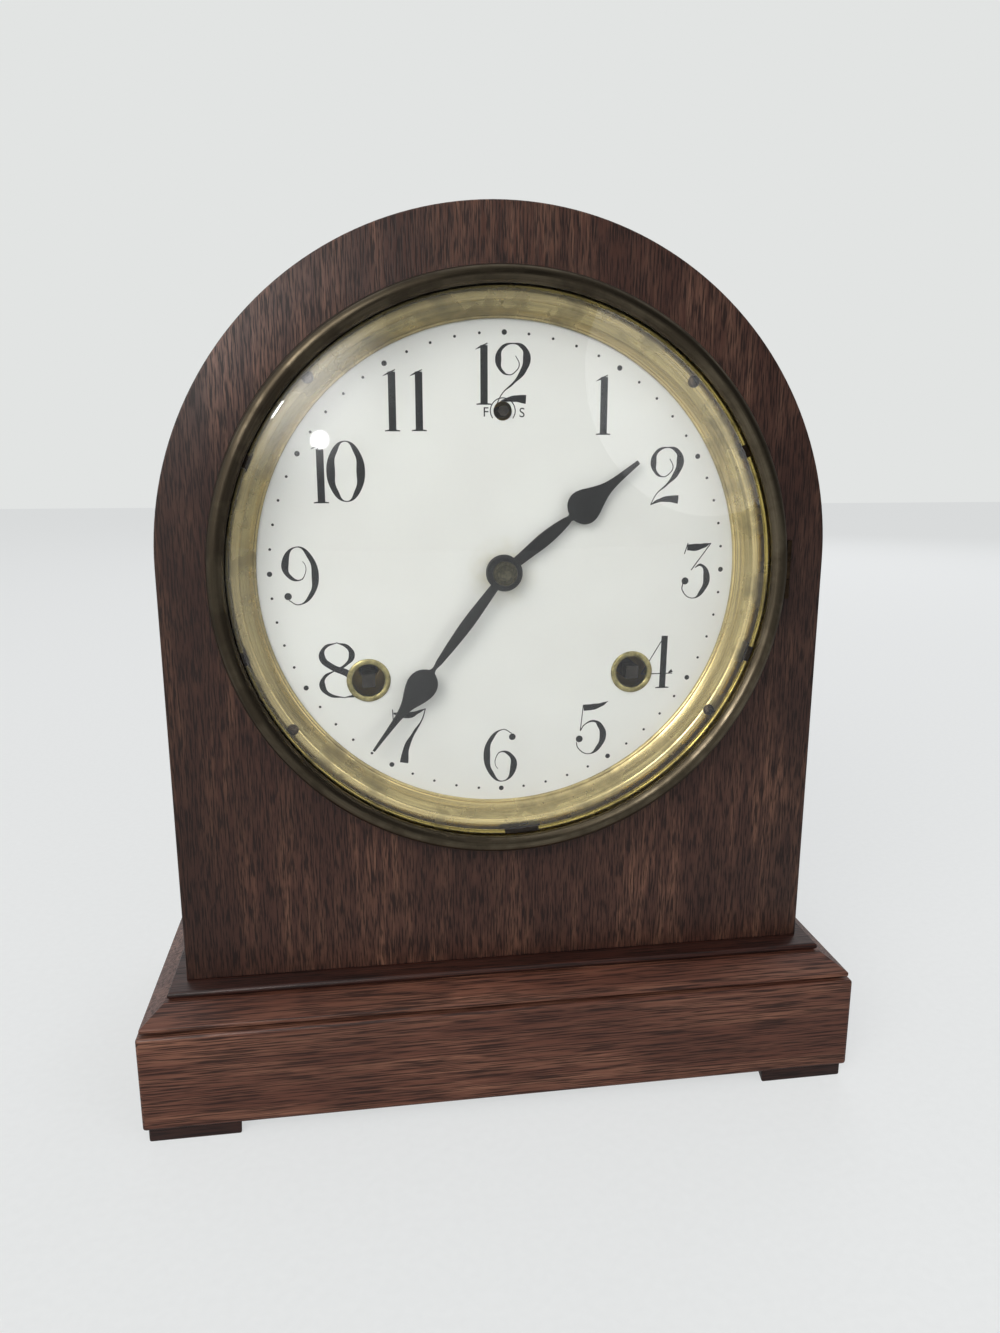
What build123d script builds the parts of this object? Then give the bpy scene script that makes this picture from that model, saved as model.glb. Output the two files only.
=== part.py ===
from build123d import *
import os
from math import atan2, cos, degrees, hypot, radians, sin, sqrt

# A beehive shelf clock with an eight day movement that strikes on a coiled gong.
# The origin is on the floor under the middle of the base, with the dial facing -Y and +Z up.
# Depths are measured from the front panel's face towards the back of the clock, and places on
# the dial and in the movement are (right, up) from the middle of the dial, seen from the front.

os.makedirs("parts", exist_ok=True)

# Overall sizes
case_width = 208.0
case_depth = 104.0
base_width = 234.0
base_depth = 128.0
plinth_overhang = 18.0
foot_height = 5.0
plinth_top_height = 37.0
base_top_height = 45.5
dial_height = 175.5
arch_height = 178.5

# Round pieces repeat so often that all but the widest are drawn with flat sides
small_sides = 6
knob_sides = 12
collar_sides = 20
ring_sides = 48

# General clearances
fit_gap = 0.3
running_gap = 0.05
overrun = 1.0

# Case boards
panel_thickness = 12.0
band_thickness = 5.0
back_thickness = 6.0
dial_recess_radius = 80.2
dial_recess_depth = 6.6
movement_opening_radius = 66.0
edge_round = 0.8

# Base moulding and plinth
groove_height = 0.9
groove_inset = 3.2
slope_foot_height = 1.2
slope_height = 4.0
slope_foot_front_inset = 1.6
slope_foot_side_inset = 1.0
slope_top_front_inset = 9.8
slope_top_side_inset = 7.4
bead_front_inset = 11.0
bead_side_inset = 8.0
bead_round = 1.0
plinth_wall = 12.0
plinth_round = 1.2
base_board_thickness = 5.0
foot_length = 23.0
foot_slope = 5.5
foot_depth = 24.0
foot_inset = 1.4

# Bezel
bezel_radius = 89.3
bezel_foot_height = 1.8
bezel_step = 0.7
bezel_crest_radius = 86.6
bezel_crest_height = 9.4
bezel_lip_radius = 83.3
bezel_lip_height = 8.0
bezel_metal = 1.0
bezel_seat_radius = 85.4
glass_radius = 84.9
glass_dome_radius = 82.6
glass_thickness = 1.8
glass_rise = 9.5
glass_ring_shares = (1, 0.7, 0.36)
sash_outer_radius = 83.9
sash_inner_radius = 82.9
sash_flange_radius = 85.2
sash_flange_height = 1.0
sash_back_height = 3.4
hinge_axis_gap = 1.9
hinge_axis_height = 1.6
hinge_pin_radius = 0.6
hinge_knuckle_radius = 1.2
hinge_knuckle_length = 6.0
hinge_leaf_thickness = 0.6
hinge_leaf_width = 1.2
catch_width = 8.0
catch_length = 4.5
catch_thickness = 0.8
catch_radius = 86.9

# Dial
dial_radius = 77.5
dial_thickness = 0.6
dial_front_depth = dial_recess_depth - dial_thickness
dial_centre_hole_radius = 4.2
winding_place = (42.7, -33.6)
regulator_place = (0, 48.8)
regulator_hole_radius = 2.85
surround_inner_radius = 75.3
surround_lip_width = 1.0
surround_lip_height = 0.7
surround_metal = 0.6
surround_shoulder_radius = 79.4
surround_outer_radius = 85.8
surround_screw_ring_radius = 81.2
surround_screw_angle_shares = (0.125, 0.345, 0.652, 0.875)
surround_screw_head_radius = 1.8
surround_screw_head_height = 1.0
surround_screw_radius = 1.0
surround_screw_length = 8.0
screw_slot_width = 0.5
screw_slot_depth = 0.5
grommet_radius = 6.9
grommet_bore_radius = 5.1
grommet_flange_height = 0.6
grommet_tube_wall = 0.6
grommet_tube_length = 2.2

# Hands
hand_thickness = 0.8
minute_hand_depth = 1.0
hour_hand_depth = 3.0
hand_hub_radius = 5.6
minute_hand_angle = 217.0
hour_hand_angle = 51.5
hand_nut_radius = 3.8
hand_nut_height = 1.7
minute_hand_length = 69.5
hour_hand_length = 54.0
# Places along each hand and half widths there, as shares of its length:
# start of the stem, swelling, neck, shoulder, belly, end of the taper, tip.
minute_hand_place_shares = (0.07, 0.27, 0.54, 0.565, 0.62, 0.79, 1.0)
minute_hand_width_shares = (0.018, 0.027, 0.013, 0.038, 0.068, 0.019, 0.006)
hour_hand_place_shares = (0.09, 0.31, 0.5, 0.53, 0.595, 0.8, 1.0)
hour_hand_width_shares = (0.03, 0.04, 0.02, 0.073, 0.1, 0.026, 0.012)

# Movement frame
front_plate_depth = 21.0
plate_thickness = 1.8
plate_spacing = 34.0
plate_half_width = 79.0
plate_top = 61.0
plate_bottom = 75.0
plate_round = 8.0
pillar_radius = 3.2
pillar_upper_place = (56.0, 54.0)
pillar_lower_place = (60.0, -69.0)
pillar_neck_radius = 1.6
pillar_nut_radius = 3.4
pillar_nut_height = 2.2
leg_radius = 3.6
leg_flange_radius = 7.0
leg_flange_thickness = 1.5

# Toothed wheels: module of each mesh, in mm of pitch diameter per tooth
tooth_addendum_share = 0.8
tooth_dedendum_share = 1.2
main_module = 1.6
main_teeth = 42
second_pinion_teeth = 6
second_module = 1.6
second_teeth = 24
centre_pinion_teeth = 6
centre_module = 0.6
centre_teeth = 72
third_pinion_teeth = 6
third_module = 0.5
third_teeth = 72
escape_pinion_teeth = 6
minute_module = 1.1
cannon_teeth = 8
minute_teeth = 24
minute_pinion_teeth = 6
hour_teeth = 24
strike_main_teeth = 36
strike_second_pinion_teeth = 6
strike_second_module = 1.1
strike_second_teeth = 30
strike_third_pinion_teeth = 6
strike_third_module = 0.8
strike_third_teeth = 30
fly_pinion_teeth = 6

# Arbors and wheels
wheel_thickness = 1.4
main_wheel_thickness = 2.0
main_wheel_depth = 25.4
pinion_length = 4.6
winding_arbor_radius = 3.0
winding_square = 4.2
winding_arbor_front_depth = 5.0
centre_arbor_radius = 1.6
hour_pipe_wall = 0.9
slim_arbor_radius = 1.2
fine_arbor_radius = 0.8
stud_radius = 1.2
arbor_collar_radius = 4.0
rim_width = 2.6
window_inner_shares = (-0.28, 0.28)
window_outer_shares = (0.42, 0.14, -0.14, -0.42)
ratchet_teeth = 12
ratchet_radius = 9.5
ratchet_tooth_height = 1.6
ratchet_thickness = 2.0
click_length = 9.0
click_width = 3.0
second_wheel_depth = 52.2
centre_wheel_depth = 44.0
third_wheel_depth = 36.0
strike_third_wheel_depth = 46.0
minute_wheel_depth = 16.8
hour_wheel_depth = 13.0
mainspring_outer_radius = 25.0
mainspring_turns = 3
coil_sides = 10
mainspring_strip = 0.9
mainspring_depth = 32.0
mainspring_height = 17.0

# Escapement and pendulum
escape_height = 26.0
escape_teeth = 32
escape_radius = 11.5
escape_tooth_height = 1.9
escape_wheel_depth = 60.6
escape_wheel_thickness = 1.2
verge_height = 42.5
verge_stud_radius = 1.0
verge_hub_radius = 2.3
verge_depth = 60.2
verge_thickness = 2.0
verge_clearance = 0.9
pallet_reach_angle = 48.0
pallet_width = 1.6
crutch_depth = 63.4
crutch_width = 2.0
crutch_thickness = 1.0
crutch_length = 30.0
pendulum_depth = 70.0
pendulum_length = 146.0
pendulum_rod_radius = 1.0
suspension_strip_width = 4.0
suspension_strip_length = 9.0
suspension_strip_thickness = 0.5
bob_radius = 15.0
bob_thickness = 9.0
bob_round = 3.0
rating_nut_radius = 3.2
rating_nut_height = 3.0
cock_half_width = 8.0
cock_foot_bottom = 53.0
cock_foot_top = 60.0
cock_thickness = 2.0
cock_jaw_width = 5.0
regulator_radius = 1.7
regulator_front_depth = 4.6
regulator_back_depth = 65.0
regulator_knob_radius = 2.8
regulator_knob_length = 3.0

# Strike side
strike_second_angle = 97.0
strike_third_angle = 85.0
fly_angle = 60.0
fly_half_width = 11.5
fly_length = 9.0
fly_thickness = 0.6
fly_depth = 24.8
lifting_pin_count = 6
lifting_pin_radius = 0.5
lifting_pin_length = 3.0
hammer_place = (-26.0, -66.0)
hammer_arm_length = 14.0
hammer_arm_angle = 249.0
hammer_head_radius = 4.0
hammer_head_length = 9.0
hammer_arm_radius = 1.2
hammer_collar_radius = 2.6
gong_height = -78.0
gong_depth = 84.0
gong_turns = 3
gong_inner_radius = 6.0
gong_outer_radius = 28.0
gong_wire = 1.4
gong_wire_depth = 2.4
gong_post_width = 9.0
gong_post_depth = 5.0
gong_block_width = 44.0
gong_block_depth = 16.0
gong_block_height = 7.0

# Back door
door_width = 130.0
door_bottom_height = 60.0
door_top_height = 238.0
door_thickness = 5.0
door_gap = 0.5
door_hinge_axis_out = 1.7
door_knuckle_radius = 1.5
door_knuckle_length = 7.0
door_leaf_width = 9.0
door_leaf_thickness = 0.8
door_pin_radius = 0.7
door_hinge_height_shares = (0.2, 0.72)
door_knob_radius = 6.0
door_knob_neck_radius = 3.0
door_knob_length = 5.6
button_length = 18.0
button_width = 7.0
button_thickness = 1.6
button_screw_radius = 1.2
button_screw_head_radius = 2.6
button_gap = 0.3

# Derived places
panel_front = plinth_overhang - base_depth / 2
back_depth = case_depth - back_thickness
plate_back_depth = front_plate_depth + plate_thickness
back_plate_depth = plate_back_depth + plate_spacing
back_plate_back_depth = back_plate_depth + plate_thickness
time_place = winding_place
strike_place = (-winding_place[0], winding_place[1])
centre_place = (0, 0)
escape_place = (0, escape_height)
verge_place = (0, verge_height)
hinge_place = (bezel_radius + hinge_axis_gap, 0)
hinge_depth = -hinge_axis_height
half_knuckle = hinge_knuckle_length / 2
hinge_half_length = half_knuckle + fit_gap + hinge_knuckle_length
mainspring_inner_radius = winding_arbor_radius + fit_gap
pillar_places = [
    (side * place[0], place[1]) for side in (-1, 1) for place in (pillar_upper_place, pillar_lower_place)
]


def layer(depth, height=dial_height):
    """The upright plane at this depth, seen from the front, with its origin on the dial's axis."""
    return Plane(origin=(0, panel_front + depth, height), x_dir=(1, 0, 0), z_dir=(0, -1, 0))


def section_plane(at=(0, 0)):
    """A level plane through a place on the dial, with (radius, depth) as its coordinates."""
    return Plane(origin=(at[0], panel_front, dial_height + at[1]))


def depth_axis(at=(0, 0)):
    """The line through a place on the dial, along the clock's depth."""
    return Axis((at[0], panel_front, dial_height + at[1]), (0, 1, 0))


def around(radius, share):
    """A point at this radius, at a share of the whole turn clockwise from twelve o'clock."""
    angle = radians(90 - 360 * share)
    return (radius * cos(angle), radius * sin(angle))


def towards(start, end):
    """The direction from one place to another, in degrees anticlockwise from the right."""
    return degrees(atan2(end[1] - start[1], end[0] - start[0]))


def from_place(start, distance, angle):
    """The place at a distance and a direction from another."""
    return (start[0] + distance * cos(radians(angle)), start[1] + distance * sin(radians(angle)))


def meeting_place(first, first_distance, second, second_distance, side):
    """The place at two given distances from two others, on the left (1) or right (-1) of their line."""
    apart = hypot(second[0] - first[0], second[1] - first[1])
    along = (first_distance**2 - second_distance**2 + apart**2) / (2 * apart)
    off = side * sqrt(first_distance**2 - along**2)
    across = ((second[0] - first[0]) / apart, (second[1] - first[1]) / apart)
    return (
        first[0] + along * across[0] - off * across[1],
        first[1] + along * across[1] + off * across[0],
    )


def mesh_distance(module, first_teeth, second_teeth):
    """How far apart two arbors are whose wheels mesh."""
    return module * (first_teeth + second_teeth) / 2


def arch(half_width, foot, mode=Mode.ADD):
    """The case's outline in a front sketch: straight sides under a half round top."""
    spring = arch_height - dial_height
    with Locations((0, foot - dial_height)):
        Rectangle(2 * half_width, spring - foot + dial_height, align=(Align.CENTER, Align.MIN), mode=mode)
    with Locations((0, spring)):
        Circle(half_width, mode=mode)


def bar(at, front, back, radius, mode=Mode.ADD, sides=0):
    """A bar or a hole along the depth, round or with flat sides. A hole's flats clear its radius."""
    with BuildSketch(layer(back)) as section:
        with Locations(at):
            if sides:
                RegularPolygon(radius, sides, major_radius=mode == Mode.ADD)
            else:
                Circle(radius)
    extrude(section.sketch, amount=back - front, mode=mode)


def turned(rings, sides, mode=Mode.ADD):
    """A solid with flat sides round the dial's axis, stretched over rings given as (radius, depth)."""
    corners = []
    for radius, depth in rings:
        ring = layer(depth)
        places = [around(radius, side / sides) for side in range(sides)]
        corners += [ring.from_local_coords(Vector(*place)) for place in places]
    ConvexPolyhedron(corners, mode=mode)


def block(at, front, back, width, height, mode=Mode.ADD):
    """A block along the depth, centred on its place."""
    with BuildSketch(layer(back)) as section:
        with Locations(at):
            Rectangle(width, height)
    extrude(section.sketch, amount=back - front, mode=mode)


def toothed(at, front, thickness, teeth, module, phase):
    """A disc with pointed teeth, one of them centred on the direction phase."""
    pitch_radius = teeth * module / 2
    points = []
    for tooth in range(teeth):
        angle = phase + 360 * tooth / teeth
        points.append(from_place((0, 0), pitch_radius + tooth_addendum_share * module, angle))
        points.append(from_place((0, 0), pitch_radius - tooth_dedendum_share * module, angle + 180 / teeth))
    with BuildSketch(layer(front + thickness)) as section:
        with Locations(at):
            Polygon(*points, align=None)
    extrude(section.sketch, amount=thickness)


def crossings(at, front, thickness, root_radius, collar_radius, arms):
    """Cuts the windows between the arms of a wheel."""
    with BuildSketch(layer(front + thickness)) as windows:
        for arm in range(arms):
            inner = [
                from_place(at, collar_radius, 360 * (arm + share) / arms) for share in window_inner_shares
            ]
            outer = [
                from_place(at, root_radius - rim_width, 360 * (arm + share) / arms)
                for share in window_outer_shares
            ]
            Polygon(*inner, *outer, align=None)
    extrude(windows.sketch, amount=thickness, mode=Mode.SUBTRACT)


def mesh_phases(first, second, second_teeth):
    """Phases that put a tooth of the first wheel in a gap of the second."""
    return towards(first, second), towards(second, first) + 180 / second_teeth


def coil(at, front, depth, inner, outer, turns, strip):
    """A flat strip wound in a spiral, as one outline out along one face and back along the other."""
    steps = turns * coil_sides
    faces = []
    for step in range(steps + 1):
        radius = inner + (outer - inner) * step / steps
        angle = 90 + 360 * step / coil_sides
        faces.append((from_place(at, radius, angle), from_place(at, radius + strip, angle)))
    inside = [face[0] for face in faces]
    outside = [face[1] for face in reversed(faces)]
    with BuildSketch(layer(front + depth)) as spiral:
        Polygon(*inside, *outside, align=None)
    extrude(spiral.sketch, amount=depth)


def hand(depth, angle, length, place_shares, width_shares, bore):
    """A hand: a swelling stem, a pear, and a thin pointer, on a round hub."""
    places = [share * length for share in place_shares]
    widths = [share * length for share in width_shares]
    stem, swelling, neck, shoulder, belly, taper, tip = zip(places, widths)
    middle = ((belly[0] + taper[0]) / 2, (belly[1] + taper[1]) / 2 - taper[1])
    along = (sin(radians(angle)), 0, cos(radians(angle)))
    back = layer(depth + hand_thickness)
    with BuildSketch(Plane(origin=back.origin, x_dir=along, z_dir=back.z_dir)) as outline:
        with BuildLine():
            Line((0, 0), (0, stem[1]))
            Line((0, stem[1]), stem)
            ThreePointArc(stem, swelling, neck)
            ThreePointArc(neck, shoulder, belly)
            ThreePointArc(belly, middle, taper)
            Line(taper, tip)
            Line(tip, (tip[0], 0))
            mirror(about=Plane.XZ)
        make_face()
        RegularPolygon(hand_hub_radius, collar_sides)
        RegularPolygon(bore, small_sides, major_radius=False, mode=Mode.SUBTRACT)
    extrude(outline.sketch, amount=hand_thickness)


def save(piece, name):
    """Labels a finished piece and writes it."""
    piece.part.label = name
    export_step(piece.part, f"parts/{name}.step")


# Places of the arbors
second_place = meeting_place(
    centre_place,
    mesh_distance(second_module, second_teeth, centre_pinion_teeth),
    time_place,
    mesh_distance(main_module, main_teeth, second_pinion_teeth),
    1,
)
third_place = meeting_place(
    centre_place,
    mesh_distance(centre_module, centre_teeth, third_pinion_teeth),
    escape_place,
    mesh_distance(third_module, third_teeth, escape_pinion_teeth),
    1,
)
hour_module = minute_module * (cannon_teeth + minute_teeth) / (minute_pinion_teeth + hour_teeth)
minute_place = (0, -mesh_distance(minute_module, cannon_teeth, minute_teeth))
strike_second_place = from_place(
    strike_place,
    mesh_distance(main_module, strike_main_teeth, strike_second_pinion_teeth),
    strike_second_angle,
)
strike_third_place = from_place(
    strike_second_place,
    mesh_distance(strike_second_module, strike_second_teeth, strike_third_pinion_teeth),
    strike_third_angle,
)
fly_place = from_place(
    strike_third_place,
    mesh_distance(strike_third_module, strike_third_teeth, fly_pinion_teeth),
    fly_angle,
)

# Front panel: an arched board, recessed for the dial and opened for the movement
with BuildPart() as front_panel:
    with BuildSketch(layer(panel_thickness)):
        arch(case_width / 2, base_top_height)
    extrude(amount=panel_thickness)
    chamfer(front_panel.faces().sort_by(Axis.Y)[0].edges().filter_by(Axis.X, reverse=True), edge_round)
    bar(centre_place, 0, dial_recess_depth, dial_recess_radius, Mode.SUBTRACT)
    bar(centre_place, 0, panel_thickness, movement_opening_radius, Mode.SUBTRACT, knob_sides)
    for share in surround_screw_angle_shares:
        at = around(surround_screw_ring_radius, share)
        bar(at, 0, surround_screw_length, surround_screw_radius, Mode.SUBTRACT, small_sides)
    block(
        (-catch_radius, 0),
        0,
        catch_length + fit_gap,
        catch_thickness + 2 * fit_gap,
        catch_width + 2 * fit_gap,
        Mode.SUBTRACT,
    )
    block(
        (hinge_place[0] + (hinge_leaf_width - hinge_knuckle_radius) / 2, 0),
        0,
        hinge_leaf_thickness,
        hinge_leaf_width + hinge_knuckle_radius,
        2 * hinge_half_length,
        Mode.SUBTRACT,
    )
save(front_panel, "front_panel")

# Case band: the bent shell behind the front panel
with BuildPart() as case_band:
    with BuildSketch(layer(back_depth)):
        arch(case_width / 2, base_top_height)
        arch(case_width / 2 - band_thickness, base_top_height, Mode.SUBTRACT)
    extrude(amount=back_depth - panel_thickness)
save(case_band, "case_band")

# Back panel with its door opening
door_spring = door_top_height - door_width / 2 - dial_height
door_middle = (door_bottom_height + door_top_height) / 2 - dial_height
with BuildPart() as back_panel:
    with BuildSketch(layer(case_depth)):
        arch(case_width / 2, base_top_height)
        with Locations((0, door_bottom_height - dial_height)):
            Rectangle(
                door_width,
                door_spring + dial_height - door_bottom_height,
                align=(Align.CENTER, Align.MIN),
                mode=Mode.SUBTRACT,
            )
        with Locations((0, door_spring)):
            Circle(door_width / 2, mode=Mode.SUBTRACT)
    extrude(amount=back_thickness)
    button_place = (-door_width / 2 - button_width / 2 - button_gap, door_middle)
    bar(button_place, back_depth, case_depth, button_screw_radius, Mode.SUBTRACT, small_sides)
save(back_panel, "back_panel")


def base_slab(height, front_inset, side_inset):
    """The base's outline at this height, set in at the front and the sides but not at the back."""
    with BuildSketch(Plane.XY.offset(height)) as outline:
        with Locations((0, base_depth / 2)):
            Rectangle(
                base_width - 2 * side_inset, base_depth - front_inset, align=(Align.CENTER, Align.MAX)
            )
    return outline.sketch


# Base moulding: a groove, a slope and a round nosed top board
slope_foot = plinth_top_height + groove_height
slope_start = slope_foot + slope_foot_height
slope_end = slope_start + slope_height
with BuildPart() as base_moulding:
    extrude(base_slab(plinth_top_height, groove_inset, groove_inset), amount=groove_height)
    extrude(
        base_slab(slope_foot, slope_foot_front_inset, slope_foot_side_inset),
        amount=slope_foot_height,
    )
    loft(
        [
            base_slab(slope_start, slope_foot_front_inset, slope_foot_side_inset),
            base_slab(slope_end, slope_top_front_inset, slope_top_side_inset),
        ]
    )
    extrude(base_slab(slope_end, bead_front_inset, bead_side_inset), amount=base_top_height - slope_end)
    nose = base_moulding.edges().filter_by_position(Axis.Z, base_top_height, base_top_height)
    fillet(nose.sort_by(Axis.Y)[:-1], bead_round)
save(base_moulding, "base_moulding")

# Plinth: a four sided frame
with BuildPart() as plinth_frame:
    with BuildSketch(Plane.XY.offset(foot_height)):
        Rectangle(base_width, base_depth)
        Rectangle(base_width - 2 * plinth_wall, base_depth - 2 * plinth_wall, mode=Mode.SUBTRACT)
    extrude(amount=plinth_top_height - foot_height)
    outside = plinth_frame.edges().group_by(Axis.Z)[-1].filter_by(Axis.X).sort_by(Axis.Y)[0]
    fillet(outside, plinth_round)
save(plinth_frame, "plinth_frame")

with BuildPart() as base_board:
    with BuildSketch(Plane.XY.offset(foot_height)):
        Rectangle(base_width - 2 * plinth_wall, base_depth - 2 * plinth_wall)
    extrude(amount=base_board_thickness)
save(base_board, "base_board")

# Feet: four blocks whose inner ends slope up
with BuildPart() as feet:
    for side in (-1, 1):
        outer = base_width / 2 - foot_inset
        corners = [
            (side * outer, 0),
            (side * (outer - foot_length), 0),
            (side * (outer - foot_length - foot_slope), foot_height),
            (side * outer, foot_height),
        ]
        for back in (-1, 1):
            near = back * (base_depth / 2 - foot_inset)
            front = max(near, near - back * foot_depth)
            with BuildSketch(Plane.XZ.offset(-front)):
                Polygon(*corners, align=None)
            extrude(amount=foot_depth)
save(feet, "feet")

# Bezel: a stamped ring, its glass, and the sash that holds the glass
bezel_outside = [
    (bezel_radius, -fit_gap),
    (bezel_radius, -bezel_foot_height),
    (bezel_radius - bezel_step, -bezel_crest_height + bezel_foot_height),
    (bezel_crest_radius, -bezel_crest_height),
]
glass_front_depth = -bezel_lip_height + bezel_metal
with BuildPart() as bezel_ring:
    turned(bezel_outside, ring_sides)
    lip = (bezel_lip_radius, -bezel_lip_height)
    turned([(bezel_crest_radius, -bezel_crest_height), lip], ring_sides, Mode.SUBTRACT)
    turned([lip, (bezel_lip_radius, glass_front_depth)], ring_sides, Mode.SUBTRACT)
    turned(
        [(bezel_seat_radius, glass_front_depth), (bezel_radius - 2 * bezel_metal, -fit_gap)],
        ring_sides,
        Mode.SUBTRACT,
    )
save(bezel_ring, "bezel_ring")

# The glass is domed to a sphere
glass_back_depth = glass_front_depth + glass_thickness
glass_sphere = (glass_dome_radius**2 + glass_rise**2) / (2 * glass_rise)


def dome(rim_depth):
    """The rings of a dome that rises forwards from a depth, from its rim inwards."""
    radii = [glass_dome_radius * share for share in glass_ring_shares]
    top = rim_depth - glass_rise
    return [(radius, top + glass_sphere - sqrt(glass_sphere**2 - radius**2)) for radius in radii]


with BuildPart() as bezel_glass:
    bar(centre_place, glass_front_depth, glass_back_depth, glass_radius, sides=ring_sides)
    turned(dome(glass_front_depth), ring_sides)
    turned(dome(glass_back_depth), ring_sides, Mode.SUBTRACT)
save(bezel_glass, "bezel_glass")

with BuildPart() as glass_sash:
    flange_back = glass_back_depth + sash_flange_height
    bar(centre_place, glass_back_depth, flange_back, sash_flange_radius, sides=ring_sides)
    bar(centre_place, flange_back, -sash_back_height, sash_outer_radius, sides=ring_sides)
    bar(
        centre_place,
        glass_back_depth,
        -sash_back_height,
        sash_inner_radius,
        Mode.SUBTRACT,
        ring_sides,
    )
save(glass_sash, "glass_sash")

# Bezel hinge on the right, its leaf and middle knuckle on the ring, and the catch on the left


def upright(at, depth, bottom, top, radius, mode=Mode.ADD, sides=small_sides):
    """An upright bar, with its ends measured from the dial's middle."""
    with BuildSketch(Plane.XY.offset(dial_height + bottom)) as section:
        with Locations((at, panel_front + depth)):
            RegularPolygon(radius, sides, major_radius=mode == Mode.ADD)
    extrude(section.sketch, amount=top - bottom, mode=mode)


def level_block(left, right, front, back, bottom, top, mode=Mode.ADD):
    """A block between two sides, two depths and two heights from the dial's middle."""
    with BuildSketch(layer(back)) as section:
        with Locations(((left + right) / 2, (bottom + top) / 2)):
            Rectangle(right - left, top - bottom)
    extrude(section.sketch, amount=back - front, mode=mode)


with BuildPart() as bezel_leaf:
    upright(hinge_place[0], hinge_depth, -half_knuckle, half_knuckle, hinge_knuckle_radius)
    level_block(
        sqrt(bezel_radius**2 - half_knuckle**2) - bezel_step / 4,
        hinge_place[0],
        hinge_depth - hinge_knuckle_radius,
        hinge_depth - hinge_knuckle_radius + hinge_leaf_thickness,
        -half_knuckle,
        half_knuckle,
    )
    turned(bezel_outside, ring_sides, Mode.SUBTRACT)
    upright(hinge_place[0], hinge_depth, -hinge_half_length, hinge_half_length, hinge_pin_radius)
save(bezel_leaf, "bezel_leaf")

with BuildPart() as bezel_hinge_plate:
    for low in (-hinge_half_length, half_knuckle + fit_gap):
        high = low + hinge_knuckle_length
        upright(hinge_place[0], hinge_depth, low, high, hinge_knuckle_radius)
        level_block(hinge_place[0], hinge_place[0] + hinge_knuckle_radius, hinge_depth, 0, low, high)
    level_block(
        hinge_place[0] - hinge_knuckle_radius,
        hinge_place[0] + hinge_leaf_width,
        0,
        hinge_leaf_thickness,
        -hinge_half_length,
        hinge_half_length,
    )
    upright(
        hinge_place[0],
        hinge_depth,
        -hinge_half_length,
        hinge_half_length,
        hinge_pin_radius + running_gap,
        Mode.SUBTRACT,
    )
save(bezel_hinge_plate, "bezel_hinge_plate")

with BuildPart() as bezel_catch:
    block(
        (-catch_radius, 0),
        -fit_gap,
        catch_length,
        catch_thickness,
        catch_width,
    )
save(bezel_catch, "bezel_catch")

# Dial plate with its holes
with BuildPart() as dial_plate:
    bar(centre_place, dial_front_depth, dial_recess_depth, dial_radius, sides=ring_sides)
    holes = [
        (centre_place, dial_centre_hole_radius),
        (regulator_place, regulator_hole_radius),
        (time_place, grommet_bore_radius + grommet_tube_wall),
        (strike_place, grommet_bore_radius + grommet_tube_wall),
    ]
    for at, radius in holes:
        bar(at, dial_front_depth, dial_recess_depth, radius, Mode.SUBTRACT, knob_sides)
save(dial_plate, "dial_plate")

# Dial surround: a brass ring with a rolled lip, a cone and a flat flange on the panel
with BuildPart() as dial_surround:
    lip_outer = surround_inner_radius + surround_lip_width
    lip_front = dial_front_depth - surround_lip_height
    back_shoulder = (surround_shoulder_radius + surround_metal / 2, 0)
    turned([(surround_outer_radius, -surround_metal), (surround_outer_radius, 0)], ring_sides)
    turned([back_shoulder, (lip_outer, dial_front_depth)], ring_sides)
    turned(
        [(surround_shoulder_radius, -surround_metal), (lip_outer, lip_front)], ring_sides, Mode.SUBTRACT
    )
    turned(
        [(surround_inner_radius, lip_front), (surround_inner_radius, dial_front_depth)],
        ring_sides,
        Mode.SUBTRACT,
    )
    for share in surround_screw_angle_shares:
        at = around(surround_screw_ring_radius, share)
        bar(at, -surround_metal, 0, surround_screw_radius, Mode.SUBTRACT, small_sides)
save(dial_surround, "dial_surround")

with BuildPart() as surround_screws:
    for share in surround_screw_angle_shares:
        at = around(surround_screw_ring_radius, share)
        head_front = -surround_metal - surround_screw_head_height
        bar(at, head_front, -surround_metal, surround_screw_head_radius, sides=knob_sides)
        bar(at, -surround_metal, surround_screw_length, surround_screw_radius, sides=small_sides)
save(surround_screws, "surround_screws")

with BuildPart() as winding_grommets:
    for at in (time_place, strike_place):
        flange_front = dial_front_depth - grommet_flange_height
        bar(at, flange_front, dial_front_depth, grommet_radius, sides=collar_sides)
        tube_radius = grommet_bore_radius + grommet_tube_wall
        tube_back = dial_front_depth + grommet_tube_length
        bar(at, dial_front_depth, tube_back, tube_radius, sides=knob_sides)
        bar(at, flange_front, tube_back, grommet_bore_radius, Mode.SUBTRACT, knob_sides)
save(winding_grommets, "winding_grommets")

# Hands, the minute hand on the centre arbor and the hour hand on the hour wheel's pipe
hour_pipe_bore = centre_arbor_radius + running_gap
hour_pipe_radius = hour_pipe_bore + hour_pipe_wall
hand_seat_radius = centre_arbor_radius
with BuildPart() as minute_hand:
    hand(
        minute_hand_depth,
        minute_hand_angle,
        minute_hand_length,
        minute_hand_place_shares,
        minute_hand_width_shares,
        hand_seat_radius,
    )
save(minute_hand, "minute_hand")

with BuildPart() as hour_hand:
    hand(
        hour_hand_depth,
        hour_hand_angle,
        hour_hand_length,
        hour_hand_place_shares,
        hour_hand_width_shares,
        hour_pipe_radius,
    )
save(hour_hand, "hour_hand")

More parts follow.
